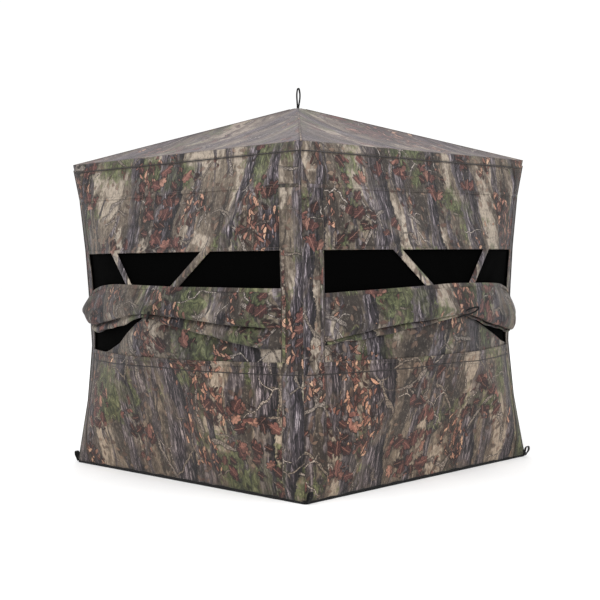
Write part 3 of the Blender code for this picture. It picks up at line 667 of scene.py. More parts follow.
def smooth_interp(x, xs, ys):
    """Monotone-ish cubic through the stations."""
    xs, ys = np.asarray(xs, float), np.asarray(ys, float)
    m = np.gradient(ys, xs)
    i = np.clip(np.searchsorted(xs, x) - 1, 0, len(xs) - 2)
    hh = xs[i + 1] - xs[i]
    t = (x - xs[i]) / hh
    return ((2 * t ** 3 - 3 * t ** 2 + 1) * ys[i] + (t ** 3 - 2 * t ** 2 + t) * hh * m[i]
            + (-2 * t ** 3 + 3 * t ** 2) * ys[i + 1] + (t ** 3 - t ** 2) * hh * m[i + 1])


def cover_parts(wall):
    c = COVERS[wall]
    us = np.linspace(c["u"][0], c["u"][-1], 131)
    top, cre, low, bul = (smooth_interp(us, c["u"], c[k]) for k in ("top", "cre", "low", "bul"))
    side = TUCKS[wall]
    t = np.clip((side * us - 0.817) / 0.050, 0, 1) if side else 0 * us
    return us, top, cre, low, np.maximum(bul, 0.012), t * t * (3 - 2 * t)


def cover_base(wall, U, z, off, tuck):
    off = off * (1 - tuck) - 0.0050 * tuck
    return surf(wall, U, z, off, 0.3)


def window_cover(wall):
    us, top, cre, low, b, tuck = cover_parts(wall)
    seed = {"front": 0.0, "left": 2.1, "right": 4.4}[wall]
    hgt = top - cre
    low = np.minimum(low, cre - 0.014)
    roll = cre - low                                  # height of the roll under the crease
    lb = np.clip(roll / 0.07, 0.0, 1.0) * 0.75 + 0.25   # how far the roll stands out
    lb = lb * (1 + 0.18 * np.sin(us * 9 + seed) + 0.10 * np.sin(us * 23 + seed * 2))
    far = np.clip((np.abs(us) - 0.62) / 0.22, 0, 1) * (np.sign(us) != TUCKS[wall])
    q = lambda o, z: np.stack([o + 0 * us, z + 0 * us], -1)
    sec = catmull([
        q(0.005 + 0.10 * b, top - 0.004),
        q(0.007 + (0.24 - 0.02 * far) * b, top - 0.12 * hgt),
        q(0.009 + (0.55 + 0.09 * far) * b, top - 0.38 * hgt),
        q(0.010 + (0.86 + 0.15 * far) * b, top - 0.66 * hgt),
        q(0.010 + (1.02 - 0.08 * far) * b, top - 0.86 * hgt),
        q(0.008 + (0.86 - 0.22 * far) * b, cre - 0.003),
        q(0.006 + 0.48 * b, cre - 0.004),
        q(0.003 + 0.14 * b, cre + 0.008),
        q(0.004 + 0.26 * lb * b, cre - 0.16 * roll),
        q(0.005 + 0.56 * lb * b, cre - 0.46 * roll),
        q(0.005 + 0.66 * lb * b, low + 0.14 * roll),
        q(0.004 + 0.42 * lb * b, low),
        q(0.003 + 0.16 * b, low + 0.004),
        q(0.002, low + 0.022),
    ], 66)
    off, z = sec[..., 0], sec[..., 1]
    t = np.linspace(0, 1, len(sec))[:, None]
    U = us[None, :] + 0 * z
    # soft folds: long diagonal pulls from the ends, scoops between them, and small puckers by the hub
    e_l, e_r = (us - us[0])[None, :], (us[-1] - us)[None, :]
    mid = np.sin(np.pi * np.clip(t * 1.15, 0, 1)) ** 0.8
    folds = 0.0085 * np.sin(30 * z + 9 * U + seed) * np.exp(-e_l * 4.0) + 0.0085 * np.sin(31 * z - 9 * U + seed * 2) * np.exp(-e_r * 4.0)
    folds += 0.0055 * np.sin(10 * U + 16 * z + seed) + 0.0034 * np.sin(21 * U - 29 * z + seed * 1.7) + 0.0016 * np.sin(47 * U + 23 * z + seed)
    folds += 0.0040 * np.sin(np.arctan2(z - 0.885, U * h + 1e-6) * 7 + seed) * np.exp(-(np.hypot(U * h, z - 0.885) / 0.22) ** 2)
    off = off + mid * folds * np.clip(b[None, :] / 0.034, 0.3, 1.3)
    off = np.maximum(off, 0.0022)
    sag = 0.0035 * np.sin(us * 13 + seed) + 0.0022 * np.sin(us * 31 + seed * 3)
    z = z + sag[None, :] * np.clip((t - 0.30) * 3, 0, 1)
    P = cover_base(wall, U, z, off, tuck[None, :])
    run = np.concatenate([np.zeros((1, len(us))), np.cumsum(np.hypot(np.diff(off, axis=0), np.diff(z, axis=0)), axis=0)])
    uv = np.stack([WALL_U0[wall] + 0.55 + U * h, 1.5 - run], -1)
    n = len(us)
    faces = [(a, d, c, e) for a, e, c, d in grid_faces(len(sec), n)]
    ob = mesh_object(f"{wall}_window_cover_cloth", P.reshape(-1, 3), faces, uv.reshape(-1, 2), [CAMO_COVER, LINING])
    solidify(ob, 0.0012)
    return ob


def cover_hem(wall):
    """The folded hem along the cover's top edge."""
    us, top, cre, low, b, tuck = cover_parts(wall)
    prof = [(-0.0010, 0.0000), (0.0004, 0.0010), (0.0022, 0.0004), (0.0028, -0.006), (0.0029, -0.013), (0.0024, -0.0195), (0.0008, -0.0200), (-0.0010, -0.010)]
    hgt = top - cre
    off = np.array([0.005 + 0.10 * b + (0.002 + 0.14 * b) * np.clip(-dz, 0, None) / (0.12 * hgt) + o for o, dz in prof])
    z = np.array([top - 0.004 + dz for o, dz in prof])
    U = us[None, :] + 0 * z
    P = cover_base(wall, U, z, off, tuck[None, :])
    uv = np.stack([WALL_U0[wall] + 0.55 + U * h, 1.52 - np.arange(len(prof))[:, None] * 0.004 + 0 * U], -1)
    n = len(us)
    k = len(prof)
    f = [(j * n + i, ((j + 1) % k) * n + i, ((j + 1) % k) * n + i + 1, j * n + i + 1) for j in range(k) for i in range(n - 1)]
    f.append(tuple(reversed([j * n for j in range(k)])))
    f.append(tuple(j * n + n - 1 for j in range(k)))
    return mesh_object(f"{wall}_cover_hem", P.reshape(-1, 3), f, uv.reshape(-1, 2), [CAMO_COVER])


# ---------------------------------------------------------------- roof
def roof_point(k_wall, s, q, off=0.0):
    """s runs -1..1 across the gore, q 0..1 from the eave to the apex."""
    n_vec, e_vec = WALLS[k_wall]
    s, q = np.asarray(s, float), np.asarray(q, float)
    inner = 1 - q
    z = EAVE + (APEX - EAVE) * q
    # the gore hangs a little between its two poles
    sagm = (1 - s ** 2)
    z = z - 0.026 * sagm * np.sin(np.pi * np.clip(q, 0, 1)) ** 0.9
    seed = {"front": 0.4, "left": 1.2, "back": 3.3, "right": 5.2}[k_wall]
    z = z + 0.0022 * np.sin(s * inner * 14 + q * 9 + seed) * sagm * np.clip(q * 6, 0, 1) * np.clip(inner * 5, 0, 1)
    z = z + 0.0030 * np.sin(np.arctan2(s * inner, q + 0.05) * 9 + seed) * sagm * np.clip(q * 5, 0, 1) * np.clip(inner * 4, 0, 1)
    x = s * h * inner
    n = h * inner
    return e_vec * x[..., None] + n_vec * n[..., None] + UP * (z + off)[..., None]


def roof_gore(wall):
    ss = np.linspace(-1, 1, 61)
    qs = np.concatenate([np.linspace(0, 0.90, 34), np.linspace(0.915, 0.985, 6)])
    S, Q = np.meshgrid(ss, qs)
    P = roof_point(wall, S, Q)
    uv = np.stack([WALL_U0[wall] * 1.7 + 0.4 + S * h * (1 - Q), 2.6 + Q * math.hypot(h, APEX - EAVE) * 0.75 + 0.30 * S * h * (1 - Q)], -1)
    ob = mesh_object(f"roof_gore_{wall}", P.reshape(-1, 3), grid_faces(len(qs), len(ss)), uv.reshape(-1, 2), [CAMO_ROOF, LINING])
    solidify(ob, 0.0010)
    return ob


def tube(name, pts, radius, mat, sides=6, squash=1.0, cap=True, up=None):
    """A swept tube through points; squash flattens it into a tape."""
    pts = np.asarray(pts, float)
    tan = np.gradient(pts, axis=0)
    tan /= np.linalg.norm(tan, axis=1, keepdims=True)
    ref = np.array([0, 0, 1.0]) if up is None else np.asarray(up, float)
    if up is None and abs(tan[0] @ ref) > 0.9:
        ref = np.array([1.0, 0, 0])
    side = np.cross(tan, ref)
    side /= np.linalg.norm(side, axis=1, keepdims=True)
    nor = np.cross(side, tan)
    a = 2 * np.pi * (np.arange(sides) + 0.5) / sides
    ring = pts[:, None] + side[:, None] * (np.cos(a) * radius)[None, :, None] + nor[:, None] * (np.sin(a) * radius * squash)[None, :, None]
    k = len(pts)
    f = [(j * sides + i, j * sides + (i + 1) % sides, (j + 1) * sides + (i + 1) % sides, (j + 1) * sides + i) for j in range(k - 1) for i in range(sides)]
    if cap:
        f += [tuple(reversed(range(sides))), tuple((k - 1) * sides + i for i in range(sides))]
    run = np.concatenate([[0], np.cumsum(np.linalg.norm(np.diff(pts, axis=0), axis=1))])
    uv = np.stack([np.tile(a * radius, k), np.repeat(run, sides)], -1)
    return mesh_object(name, ring.reshape(-1, 3), f, uv, [mat])


# ---------------------------------------------------------------- walls: skins, seams, sleeves
for wall in WALLS:
    n_vec, e_vec = WALLS[wall]
    u2 = np.linspace(-1, 1, 101)
    window = wall != "back"
    # dark piping under the eave
    eave = surface_band(f"{wall}_eave_piping", wall, u2, np.full(101, SEAM_HI), 0.0052, 0.0014, PIPE, 0.0016, 5, 0.0014)
    wall_blend(eave)
    # seams across the wall, above and below the window
    if window:
        us = np.linspace(-0.985, 0.985, 101)
        mid = surface_band(f"{wall}_upper_seam", wall, us, np.full(101, SEAM_MID) + 0.004 * np.sin(us * 3), 0.018, 0.0014, CAMO, 0.0016, 5, 0.0008, camo_uv=True)
        wall_blend(mid)
        low = surface_band(f"{wall}_lower_seam", wall, us, SEAM_LO + 0.010 * (1 - np.abs(us)) , 0.0040, 0.0012, PIPE, 0.0012, 5, 0.0010)
        wall_blend(low)
        # hems round the window opening
        top = surface_band(f"{wall}_window_top_hem", wall, np.linspace(-STRIP_U, STRIP_U, 91), np.full(91, WIN_TOP + 0.008), 0.018, 0.0016, CAMO, 0.0018, 5, 0.0008, camo_uv=True)
        wall_blend(top)
        bot = surface_band(f"{wall}_lower_panel_hem", wall, np.linspace(-STRIP_U, STRIP_U, 91), np.full(91, SILL - 0.010), 0.022, 0.0016, CAMO, 0.0018, 5, 0.0008, camo_uv=True)
        wall_blend(bot)
        for side in (-1, 1):
            vs = np.linspace(SILL, WIN_TOP, 31)
            lab = "a" if side < 0 else "b"
            hem = surface_band(f"{wall}_window_side_hem_{lab}", wall, np.full(31, side * (STRIP_U + 0.010)), vs, 0.018, 0.0030, CAMO, 0.0018, 5, 0.0008, camo_uv=True)
            wall_blend(hem)
            # camouflage sleeves over the two upper poles, across the window
            vv = np.linspace(0.960, WIN_TOP + 0.020, 25)
            uu = side * (vv - MID) / MID
            sl = surface_band(f"{wall}_pole_sleeve_{lab}", wall, uu, vv, 0.043, 0.0010, CAMO, 0.0012, 9, 0.0040, camo_uv=True)
            wall_blend(sl)
        sp = sill_panel(wall)
        wall_blend(sp)
        # window cover and its hem ride on the cover's own slide
        cov, hem = window_cover(wall), cover_hem(wall)
        for o in (cov, hem):
            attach(o, f"{wall}_window_cover")
        for o in (cov, hem):
            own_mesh(o)
        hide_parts(f"{wall}_window_cover")

for wall in WALLS:
    g = roof_gore(wall)
    roof_blend(g)
    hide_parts(f"roof_panel_{wall}")

# hip tapes over the roof poles
for k, (sx, sy) in enumerate(((-1, -1), (1, -1), (1, 1), (-1, 1))):
    q = np.linspace(0, 0.965, 40)
    pts = np.stack([sx * h * (1 - q), sy * h * (1 - q), EAVE + (APEX - EAVE) * q + 0.0006], -1)
    t = tube(f"roof_hip_seam_{k}", pts, 0.0042, CAMO_ROOF, 6, 0.35)
    roof_blend(t)

# ---------------------------------------------------------------- mesh screens behind the windows
def mesh_cloth():
    """Fine black knitted mesh: close hexagonal holes, drawn on the UV map."""
    N = Nodes("black_mesh")
    P = N.uv()
    q = N.voro(P, 900.0, "DISTANCE_TO_EDGE", 0.12).outputs["Distance"]
    n = N.noise(P, 14.0, 3, 0.6)
    col = N.mix(N.step(q, 0.16, 0.30), lin(4, 4, 4), lin(1, 1, 1))
    N.set(Base_Color=N.mix(N.m("MULTIPLY", n, 0.4), col, lin(2, 2, 2)), Roughness=N.m("ADD", N.m("MULTIPLY", n, 0.06), 0.90), Specular_IOR_Level=0.01)
    N.bump(q, 0.3, 0.0004)
    return N.mat


MESHMAT = mesh_cloth()
for wall in ("front", "left", "right"):
    us = spaced([-0.905, -0.10, 0.10, 0.905], 0.030)
    vs = spaced([0.640, 0.930, 1.226], 0.030)
    U, Vv = np.meshgrid(us, vs)
    P = surf(wall, U, Vv, -0.0110)
    f = grid_faces(len(vs), len(us), lambda j, i: not (abs(us[i] + us[i + 1]) / 2 < 0.10 and (vs[j] + vs[j + 1]) / 2 < 0.930))
    verts, f, uv, wt = compact(P.reshape(-1, 3), f, wall_uv(wall, U, Vv).reshape(-1, 2), share(U, Vv).ravel())
    ob = mesh_object(f"{wall}_window_mesh", verts, f, uv, [MESHMAT, MESHMAT])
    solidify(ob, 0.0006, -1.0, 0)
    wall_blend(ob)
    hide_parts(f"{wall}_mesh_screen")

# ---------------------------------------------------------------- the door in the back wall
DOOR = [(0.736, 0.262), (0.736, 1.458), (0.1058, 0.86)]       # foot and head of the hinge line, latch end


def door_inset(by):
    a, b, c = [np.array(p) for p in DOOR]
    L = [np.linalg.norm(b - c), np.linalg.norm(c - a), np.linalg.norm(a - b)]
    ce = (a * L[0] + b * L[1] + c * L[2]) / sum(L)
    d1, d2 = b - a, c - a
    r = abs(d1[0] * d2[1] - d1[1] * d2[0]) / sum(L)
    return [ce + (p - ce) * (1 - by / r) for p in (a, b, c)]


def wall_u(x, v):
    """The share of the half width at which a wall's fabric passes through x."""
    x, v = np.asarray(x, float), np.asarray(v, float)
    u = x / h
    for _ in range(40):
        tx, tz = 1 - np.abs(u), 1 - np.abs(v - MID) / MID
        u = np.sign(x) * (np.abs(x) + sigma(v) * np.maximum(0.0, 1 - tx / np.maximum(tz, 1e-6)) ** 2.8) / h
    return u


def cut_triangle(ob, tri, inside):
    """Cut a back-wall mesh along a triangle of (x, z) points and keep its inside or its outside."""
    import bmesh
    bm = bmesh.new()
    bm.from_mesh(ob.data)
    ce = sum(tri) / 3
    planes = []
    for k in range(3):
        p, q = tri[k], tri[(k + 1) % 3]
        no = Vector((q[1] - p[1], 0, -(q[0] - p[0]))).normalized()
        if no.dot(Vector((ce[0] - p[0], 0, ce[1] - p[1]))) < 0:
            no = -no
        planes.append((Vector((p[0], 0, p[1])), no))
        bmesh.ops.bisect_plane(bm, geom=bm.verts[:] + bm.edges[:] + bm.faces[:], dist=1e-6, plane_co=planes[-1][0], plane_no=no)
    gone = []
    for f in bm.faces:
        c = f.calc_center_median()
        within = all((c - co).dot(no) > 0 for co, no in planes)
        if within != inside:
            gone.append(f)
    bmesh.ops.delete(bm, geom=gone, context="FACES")
    bm.to_mesh(ob.data)
    bm.free()
    me = ob.data
    uv = np.empty(len(me.loops) * 2, np.float32)
    me.uv_layers["UVMap"].data.foreach_get("uv", uv)
    vi = np.empty(len(me.loops), np.int32)
    me.loops.foreach_get("vertex_index", vi)
    per = np.zeros((len(me.vertices), 2))
    per[vi] = uv.reshape(-1, 2)
    me.polygons.foreach_set("use_smooth", np.ones(len(me.polygons), bool))


n_b = WALLS["back"][0]
us = spaced([-0.86, -0.05], 0.020)
vs = spaced([0.20, 1.52], 0.020)
U, Vv = np.meshgrid(us, vs)
door = mesh_object("door_cloth", surf("back", U, Vv).reshape(-1, 3), grid_faces(len(vs), len(us)), wall_uv("back", U, Vv).reshape(-1, 2), [CAMO, LINING])
cut_triangle(door, door_inset(0.0125), True)
solidify(door)
door_pieces = [door]


def door_line(a, b, count):
    t = np.linspace(0, 1, count)[:, None]
    return a * (1 - t) + b * t


A1, B1, C1 = door_inset(0.0085)
zip_run = np.concatenate([door_line(B1, C1, 70), door_line(C1, A1, 70)[1:]])
k = len(zip_run)
tape = surface_band("door_zip_tape", "back", wall_u(-zip_run[:, 0], zip_run[:, 1]), zip_run[:, 1], 0.030, -0.0022, WEB, 0.0008, 5, 0.0002)
wall_blend(tape)
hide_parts("door_zip_track")
seam = door_line(A1, B1, 90)
hs = surface_band("door_hinge_seam", "back", wall_u(-seam[:, 0], seam[:, 1]), seam[:, 1], 0.030, 0.0012, CAMO, 0.0012, 5, 0.0008, camo_uv=True)
wall_blend(hs)


def zip_coil():
    """Moulded coil: a ridge with close turns, darker between the turns as painted shade, from the run along the zip."""
    N = Nodes("zip_coil")
    x, y, _ = N.xyz(N.uv())
    t = N.m("SINE", N.m("MULTIPLY", y, 2 * math.pi / 0.0024))
    n = N.noise(N.uv(), 300, 3, 0.6)
    N.set(Base_Color=N.mix(N.step(t, -0.5, 0.6), lin(5, 5, 5), lin(36, 36, 37)), Roughness=N.m("ADD", N.m("MULTIPLY", n, 0.2), 0.34), Specular_IOR_Level=0.5)
    N.bump(t, 1.0, 0.0008)
    return N.mat


zip_u = wall_u(-zip_run[:, 0], zip_run[:, 1])
coil_pts = surf("back", zip_u, zip_run[:, 1], 0.0008)
coil = tube("door_zip_coil", coil_pts, 0.0030, zip_coil(), 8, 0.55, up=n_b)
wall_blend(coil)


back_skin = bpy.data.objects["back_wall_skin"]
cut_triangle(back_skin, door_inset(0.0), False)
wall_blend(back_skin)


# ---------------------------------------------------------------- small hardware and webbing
def metal():
    N = Nodes("zip_metal")
    o = N.obj()
    a = N.noise(o, 240, 4, 0.65, dims="3D")
    w = N.noise(o, 60, 3, 0.6, dims="3D")
    N.set(Base_Color=N.ramp(w, [(0.35, lin(120, 120, 122)), (0.65, lin(170, 169, 166))]), Metallic=1.0, Roughness=N.m("ADD", N.m("MULTIPLY", a, 0.30), 0.20))
    N.bump(a, 0.25, 0.0002)
    return N.mat


def frame_of(origin, z_dir, x_dir):
    z = Vector(z_dir).normalized()
    x = Vector(x_dir)
    x = (x - z * x.dot(z)).normalized()
    y = z.cross(x)
    m = Matrix.Identity(4)
    for i in range(3):
        m[i][0], m[i][1], m[i][2], m[i][3] = x[i], y[i], z[i], origin[i]
    return m


def sweep_closed(name, pts, side, width, thick, mat, uvlen=1.0):
    """A flat band swept round a closed path; side is the direction of its width."""
    pts = np.asarray(pts, float)
    tan = np.roll(pts, -1, 0) - np.roll(pts, 1, 0)
    tan /= np.linalg.norm(tan, axis=1, keepdims=True)
    side = np.asarray(side, float) / np.linalg.norm(side)
    nor = np.cross(tan, side)
    nor /= np.linalg.norm(nor, axis=1, keepdims=True)
    prof = np.array([(-0.5, -0.30), (-0.46, -0.5), (-0.2, -0.5), (0.2, -0.5), (0.46, -0.5), (0.5, -0.30),
                     (0.5, 0.30), (0.46, 0.5), (0.2, 0.5), (-0.2, 0.5), (-0.46, 0.5), (-0.5, 0.30)])
    ring = pts[:, None] + side[None, None] * (prof[:, 0] * width)[None, :, None] + nor[:, None] * (prof[:, 1] * thick)[None, :, None]
    n, m = len(pts), len(prof)
    f = [(j * m + i, j * m + (i + 1) % m, ((j + 1) % n) * m + (i + 1) % m, ((j + 1) % n) * m + i) for j in range(n) for i in range(m)]
    run = np.concatenate([[0], np.cumsum(np.linalg.norm(np.diff(pts, axis=0), axis=1))])
    uv = np.stack([np.tile(prof[:, 0] * width, n), np.repeat(run, m)], -1)
    return mesh_object(name, ring.reshape(-1, 3), f, uv, [mat])


def webbing():
    """Black nylon webbing: chevron weave across the UV map, darker in the weave's grooves as painted shade, over a
    mottled tone.
    """
    N = Nodes("nylon_webbing")
    x, y, _ = N.xyz(N.uv())
    chev = N.m("ADD", N.m("MULTIPLY", y, 2 * math.pi / 0.0026), N.m("MULTIPLY", N.m("ABSOLUTE", N.m("SUBTRACT", N.m("MODULO", N.m("ADD", x, 1.0), 0.0060), 0.0030)), 1900.0))
    t = N.m("SINE", chev)
    n = N.noise(N.uv(), 240, 4, 0.65)
    N.set(Base_Color=N.mix(N.step(t, -0.6, 0.7), lin(6, 6, 7), N.ramp(n, [(0.35, lin(14, 14, 15)), (0.7, lin(31, 30, 30))])), Roughness=N.m("ADD", N.m("MULTIPLY", n, 0.2), 0.60),
          Specular_IOR_Level=0.24)
    N.bump(N.m("ADD", t, N.m("MULTIPLY", n, 0.6)), 0.8, 0.0007)
    return N.mat


WEB2 = webbing()
METAL = metal()


def teardrop(length, width, neck, count):
    pts = []
    for i in range(count):
        a = 2 * math.pi * (i + 0.5) / count
        t = (1 - math.cos(a)) / 2
        half = neck / 2 + (width / 2 - neck / 2) * math.sin(math.pi * min(1, t) ** 1.7) ** 0.8 if 0 < t < 1 else neck / 2
        pts.append((length * t, half * (1 if math.sin(a) > 0 else -1)))
    return pts


def soft_loop(name, node, length, width, neck, half_w, matrix, bow=0.0, thick=0.0018):
    pts = []
    for x, y in teardrop(length, width, neck, 72):
        pts.append(matrix @ Vector((x, y + bow * math.sin(math.pi * x / length), 0)))
    side = (matrix.to_3x3() @ Vector((0, 0, 1)))
    ob = sweep_closed(name, pts, side, half_w * 2, thick, WEB2)
    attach(ob, "root" if node.startswith("stake") else node.replace("pull_loop", "hub"))
    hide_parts(node)
    return ob


for wall, (n_vec, e_vec) in WALLS.items():
    base = Vector(n_vec * (h + HUB_N + 0.011 + 0.0062) + UP * (MID - 0.004))
    along = Vector(n_vec * 0.60 + e_vec * 0.70 + UP * 0.38).normalized()
    soft_loop(f"{wall}_pull_webbing", f"{wall}_pull_loop", 0.125, 0.024, 0.0075, 0.0055, frame_of(base + along * 0.003, n_vec * 0.70 - e_vec * 0.60 + UP * 0.25, along), thick=0.0076)
soft_loop("roof_pull_webbing", "roof_pull_loop", 0.128, 0.026, 0.0055, 0.0060, frame_of((0, 0, ROOF_HUB_Z + 0.011 + 0.0065), (0, 1, 0), (0.05, 0, 1.0)), 0.002)
for lab, sx, sy in (("front_left", -1, -1), ("front_right", 1, -1), ("back_left", -1, 1), ("back_right", 1, 1)):
    foot = (sx * (h - 0.010), sy * (h + 0.0088), 0.007)
    soft_loop(f"stake_webbing_{lab}", f"stake_loop_{lab}", 0.058, 0.022, 0.005, 0.0105, frame_of(foot, (1, 0, 0), (0, sy * 0.42, 1)))

# the slider: a rounded body with a bridge, and a puller with a hole
import bmesh


def rounded_box(name, parts3, matrix, bevel, mat):
    bm = bmesh.new()
    for size, at in parts3:
        bmesh.ops.create_cube(bm, size=1.0, matrix=matrix @ Matrix.Translation(at) @ Matrix.Diagonal((*size, 1)))
    bmesh.ops.bevel(bm, geom=bm.edges[:], offset=bevel, segments=3, affect="EDGES", clamp_overlap=True)
    me = bpy.data.meshes.new(name)
    bm.to_mesh(me)
    bm.free()
    me.materials.append(mat)
    me.polygons.foreach_set("use_smooth", np.ones(len(me.polygons), bool))
    ob = bpy.data.objects.new(name, me)
    bpy.context.scene.collection.objects.link(ob)
    return ob


lo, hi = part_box("zip_slider")
T0, T1, T2 = [np.array([p[0], h + BULGE * (1 - p[0] / h) - 0.006, p[1]]) for p in door_inset(0.008)]
run_d = (T2 - T1) / np.linalg.norm(T2 - T1)
head = T1 + run_d * 0.05
face_n = np.cross(T2 - T1, T0 - T1)
face_n /= np.linalg.norm(face_n)
if face_n @ n_b < 0:
    face_n = -face_n
sm = frame_of(head + face_n * 0.0062, face_n, run_d)
slider = rounded_box("zip_slider_body", [((0.020, 0.011, 0.0016), (0, 0, -0.0014)), ((0.018, 0.010, 0.0014), (0, 0, 0.0016)), ((0.005, 0.004, 0.004), (0.004, 0, 0)),
                                         ((0.012, 0.0022, 0.0022), (0, 0, 0.0033)), ((0.0025, 0.0022, 0.0024), (0.0055, 0, 0.0024)), ((0.0025, 0.0022, 0.0024), (-0.0055, 0, 0.0024))],
                     sm, 0.0005, METAL)
puller = rounded_box("zip_puller", [((0.004, 0.0075, 0.0014), (-0.0085, 0, 0.0025)), ((0.022, 0.0016, 0.0014), (-0.0200, 0.0030, 0.0022)),
                                    ((0.022, 0.0016, 0.0014), (-0.0200, -0.0030, 0.0022)), ((0.005, 0.0078, 0.0014), (-0.0330, 0, 0.0022))], sm, 0.0005, METAL)
for o in (slider, puller):
    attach(o, "zip_slider")
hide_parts("zip_slider")
for o in door_pieces:
    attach(o, "door")
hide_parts("door_panel")
for o in door_pieces + [slider, puller]:
    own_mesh(o)

# the hem tape round the foot, in webbing, with softly rounded corners
r = 0.012
path = []
for sx, sy, a0 in ((1, -1, -90), (1, 1, 0), (-1, 1, 90), (-1, -1, 180)):
    for a in np.radians(np.linspace(a0, a0 + 90, 7)):
        path.append((sx * (h - r) + r * math.cos(a), sy * (h - r) + r * math.sin(a)))
full = []
for k in range(len(path)):
    p, q = np.array(path[k]), np.array(path[(k + 1) % len(path)])
    m = max(1, int(np.linalg.norm(q - p) / 0.02))
    full += [p + (q - p) * i / m for i in range(m)]
full = np.array(full)
out = full / np.maximum(np.abs(full).max(axis=1, keepdims=True), 1e-9)
arc = np.arange(len(full))
full = full + np.sign(full) * (np.abs(full) > h - 0.002) * (0.0016 + 0.0006 * np.sin(arc * 0.9) * np.sin(arc * 0.13))[:, None]
hemt = sweep_closed("ground_hem_tape", np.concatenate([full, np.full((len(full), 1), 0.0091)], 1), (0, 0, 1), 0.018, 0.0036, WEB2)
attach(hemt, "root")
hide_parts("ground_hem")


def thread():
    """Lock stitches: thread humps between needle holes, darker at the holes as painted shade, from the run along the
    seam.
    """
    N = Nodes("seam_thread")
    x, y, _ = N.xyz(N.uv())
    t = N.m("SINE", N.m("MULTIPLY", y, 2 * math.pi / 0.0042))
    n = N.noise(N.uv(), 500, 2, 0.5)
    N.set(Base_Color=N.mix(N.step(t, -0.75, -0.2), lin(22, 18, 16), N.ramp(n, [(0.3, lin(74, 64, 54)), (0.7, lin(104, 92, 78))])), Roughness=N.m("ADD", N.m("MULTIPLY", n, 0.2), 0.55))
    N.bump(t, 1.0, 0.0006)
    return N.mat


THREAD = thread()


def stitches(name, wall, lines):
    """All of one wall's seam threads in one piece; each line is (us, vs, lift)."""
    V_, F_, UV_, W_ = [], [], [], []
    n_vec, e_vec = WALLS[wall]
    base = 0
    for us, vs, lift in lines:
        us, vs = np.broadcast_arrays(np.asarray(us, float), np.asarray(vs, float))
        pts = surf(wall, us, vs, lift)
        tan = np.gradient(pts, axis=0)
        tan /= np.linalg.norm(tan, axis=1, keepdims=True)
        side = np.cross(tan, n_vec)
        side /= np.linalg.norm(side, axis=1, keepdims=True)
        nor = np.cross(side, tan)
        a = 2 * np.pi * np.arange(5) / 5
        ring = pts[:, None] + side[:, None] * (np.cos(a) * 0.0007)[None, :, None] + nor[:, None] * (np.sin(a) * 0.0005)[None, :, None]
        k = len(pts)
        V_.append(ring.reshape(-1, 3))
        F_ += [(base + j * 5 + i, base + j * 5 + (i + 1) % 5, base + (j + 1) * 5 + (i + 1) % 5, base + (j + 1) * 5 + i) for j in range(k - 1) for i in range(5)]
        F_ += [tuple(base + i for i in reversed(range(5))), tuple(base + (k - 1) * 5 + i for i in range(5))]
        run = np.concatenate([[0], np.cumsum(np.linalg.norm(np.diff(pts, axis=0), axis=1))])
        UV_.append(np.stack([np.tile(a * 0.0007, k), np.repeat(run, 5)], -1))
        W_.append(np.repeat(share(us, vs), 5))
        base += k * 5
    ob = mesh_object(name, np.concatenate(V_), F_, np.concatenate(UV_), [THREAD])
    wall_blend(ob)
    return ob


for wall in WALLS:
    wide = np.linspace(-0.99, 0.99, 90)
    lines = [(wide, SEAM_HI + 0.007, 0.0012), (wide, SEAM_HI - 0.007, 0.0012)]
    vfull = np.linspace(0.03, EAVE - 0.02, 80)
    for side in (-1, 1):
        lines.append((np.full(80, side * (STRIP_U - 0.003)), vfull, 0.0022))
    if wall != "back":
        inner = np.linspace(-STRIP_U + 0.01, STRIP_U - 0.01, 80)
        for dz in (-0.006, 0.006):
            lines.append((inner, SEAM_MID + 0.004 * np.sin(inner * 3) + dz, 0.0024))
            lines.append((inner, WIN_TOP + 0.008 + dz, 0.0028))
            lines.append((inner, SILL - 0.010 + dz, 0.0028))
        vv = np.linspace(0.965, WIN_TOP + 0.015, 24)
        for side in (-1, 1):
            for du in (-0.024, 0.024):
                lines.append((side * ((vv - MID) / MID + du), vv, 0.0026))
    stitches(f"{wall}_stitching", wall, lines)

# dark binding up the far corners
for label, sx, sy in (("front_right", 1, -1), ("back_left", -1, 1), ("back_right", 1, 1)):
    z = np.linspace(0.02, EAVE - 0.03, 90)
    pull = sigma(z)
    pts = np.stack([sx * (h - pull + 0.0012), sy * (h - pull + 0.0012), z], -1)
    t = tube(f"corner_binding_{label}", pts, 0.0036, PIPE, 8)
    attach(t, "root")

# ---------------------------------------------------------------- what each skin stands for
for wall in ("front", "left", "right"):
    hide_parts(f"{wall}_upper_panel", f"{wall}_lower_panel")
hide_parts("back_wall_panel")
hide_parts("back_right_corner_strip")
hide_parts("back_left_corner_strip")
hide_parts("front_left_corner_strip")
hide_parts("front_right_corner_strip")

# ---------------------------------------------------------------- carried-over CAD nodes
for name, ob in NODES.items():
    if ob.hide_render:
        continue
    mat = None
    if "loop" in name or name == "ground_hem":
        mat = WEB
    elif name.endswith("_hub"):
        mat = NYLON
    elif name == "zip_slider":
        mat = NYLON
    elif "door" in name:
        mat = WEB
    if mat:
        for s in ob.material_slots:
            s.material = mat
    if not ob.material_slots:
        ob.data.materials.append(mat or WEB)
for wall, (n_vec, _) in WALLS.items():
    pm = pole_material(f"{wall}_pole_rod", n_vec * (h + HUB_N) + UP * MID, PIVOT_R + 0.058, 1.190)
    for name, ob in NODES.items():
        if name.startswith(f"{wall}_pole_"):
            ob.material_slots[0].material = pm
pm = pole_material("roof_pole_rod", (0, 0, ROOF_HUB_Z), PIVOT_R + 0.058, 1.240)
for name, ob in NODES.items():
    if name.startswith("roof_pole_"):
        ob.material_slots[0].material = pm

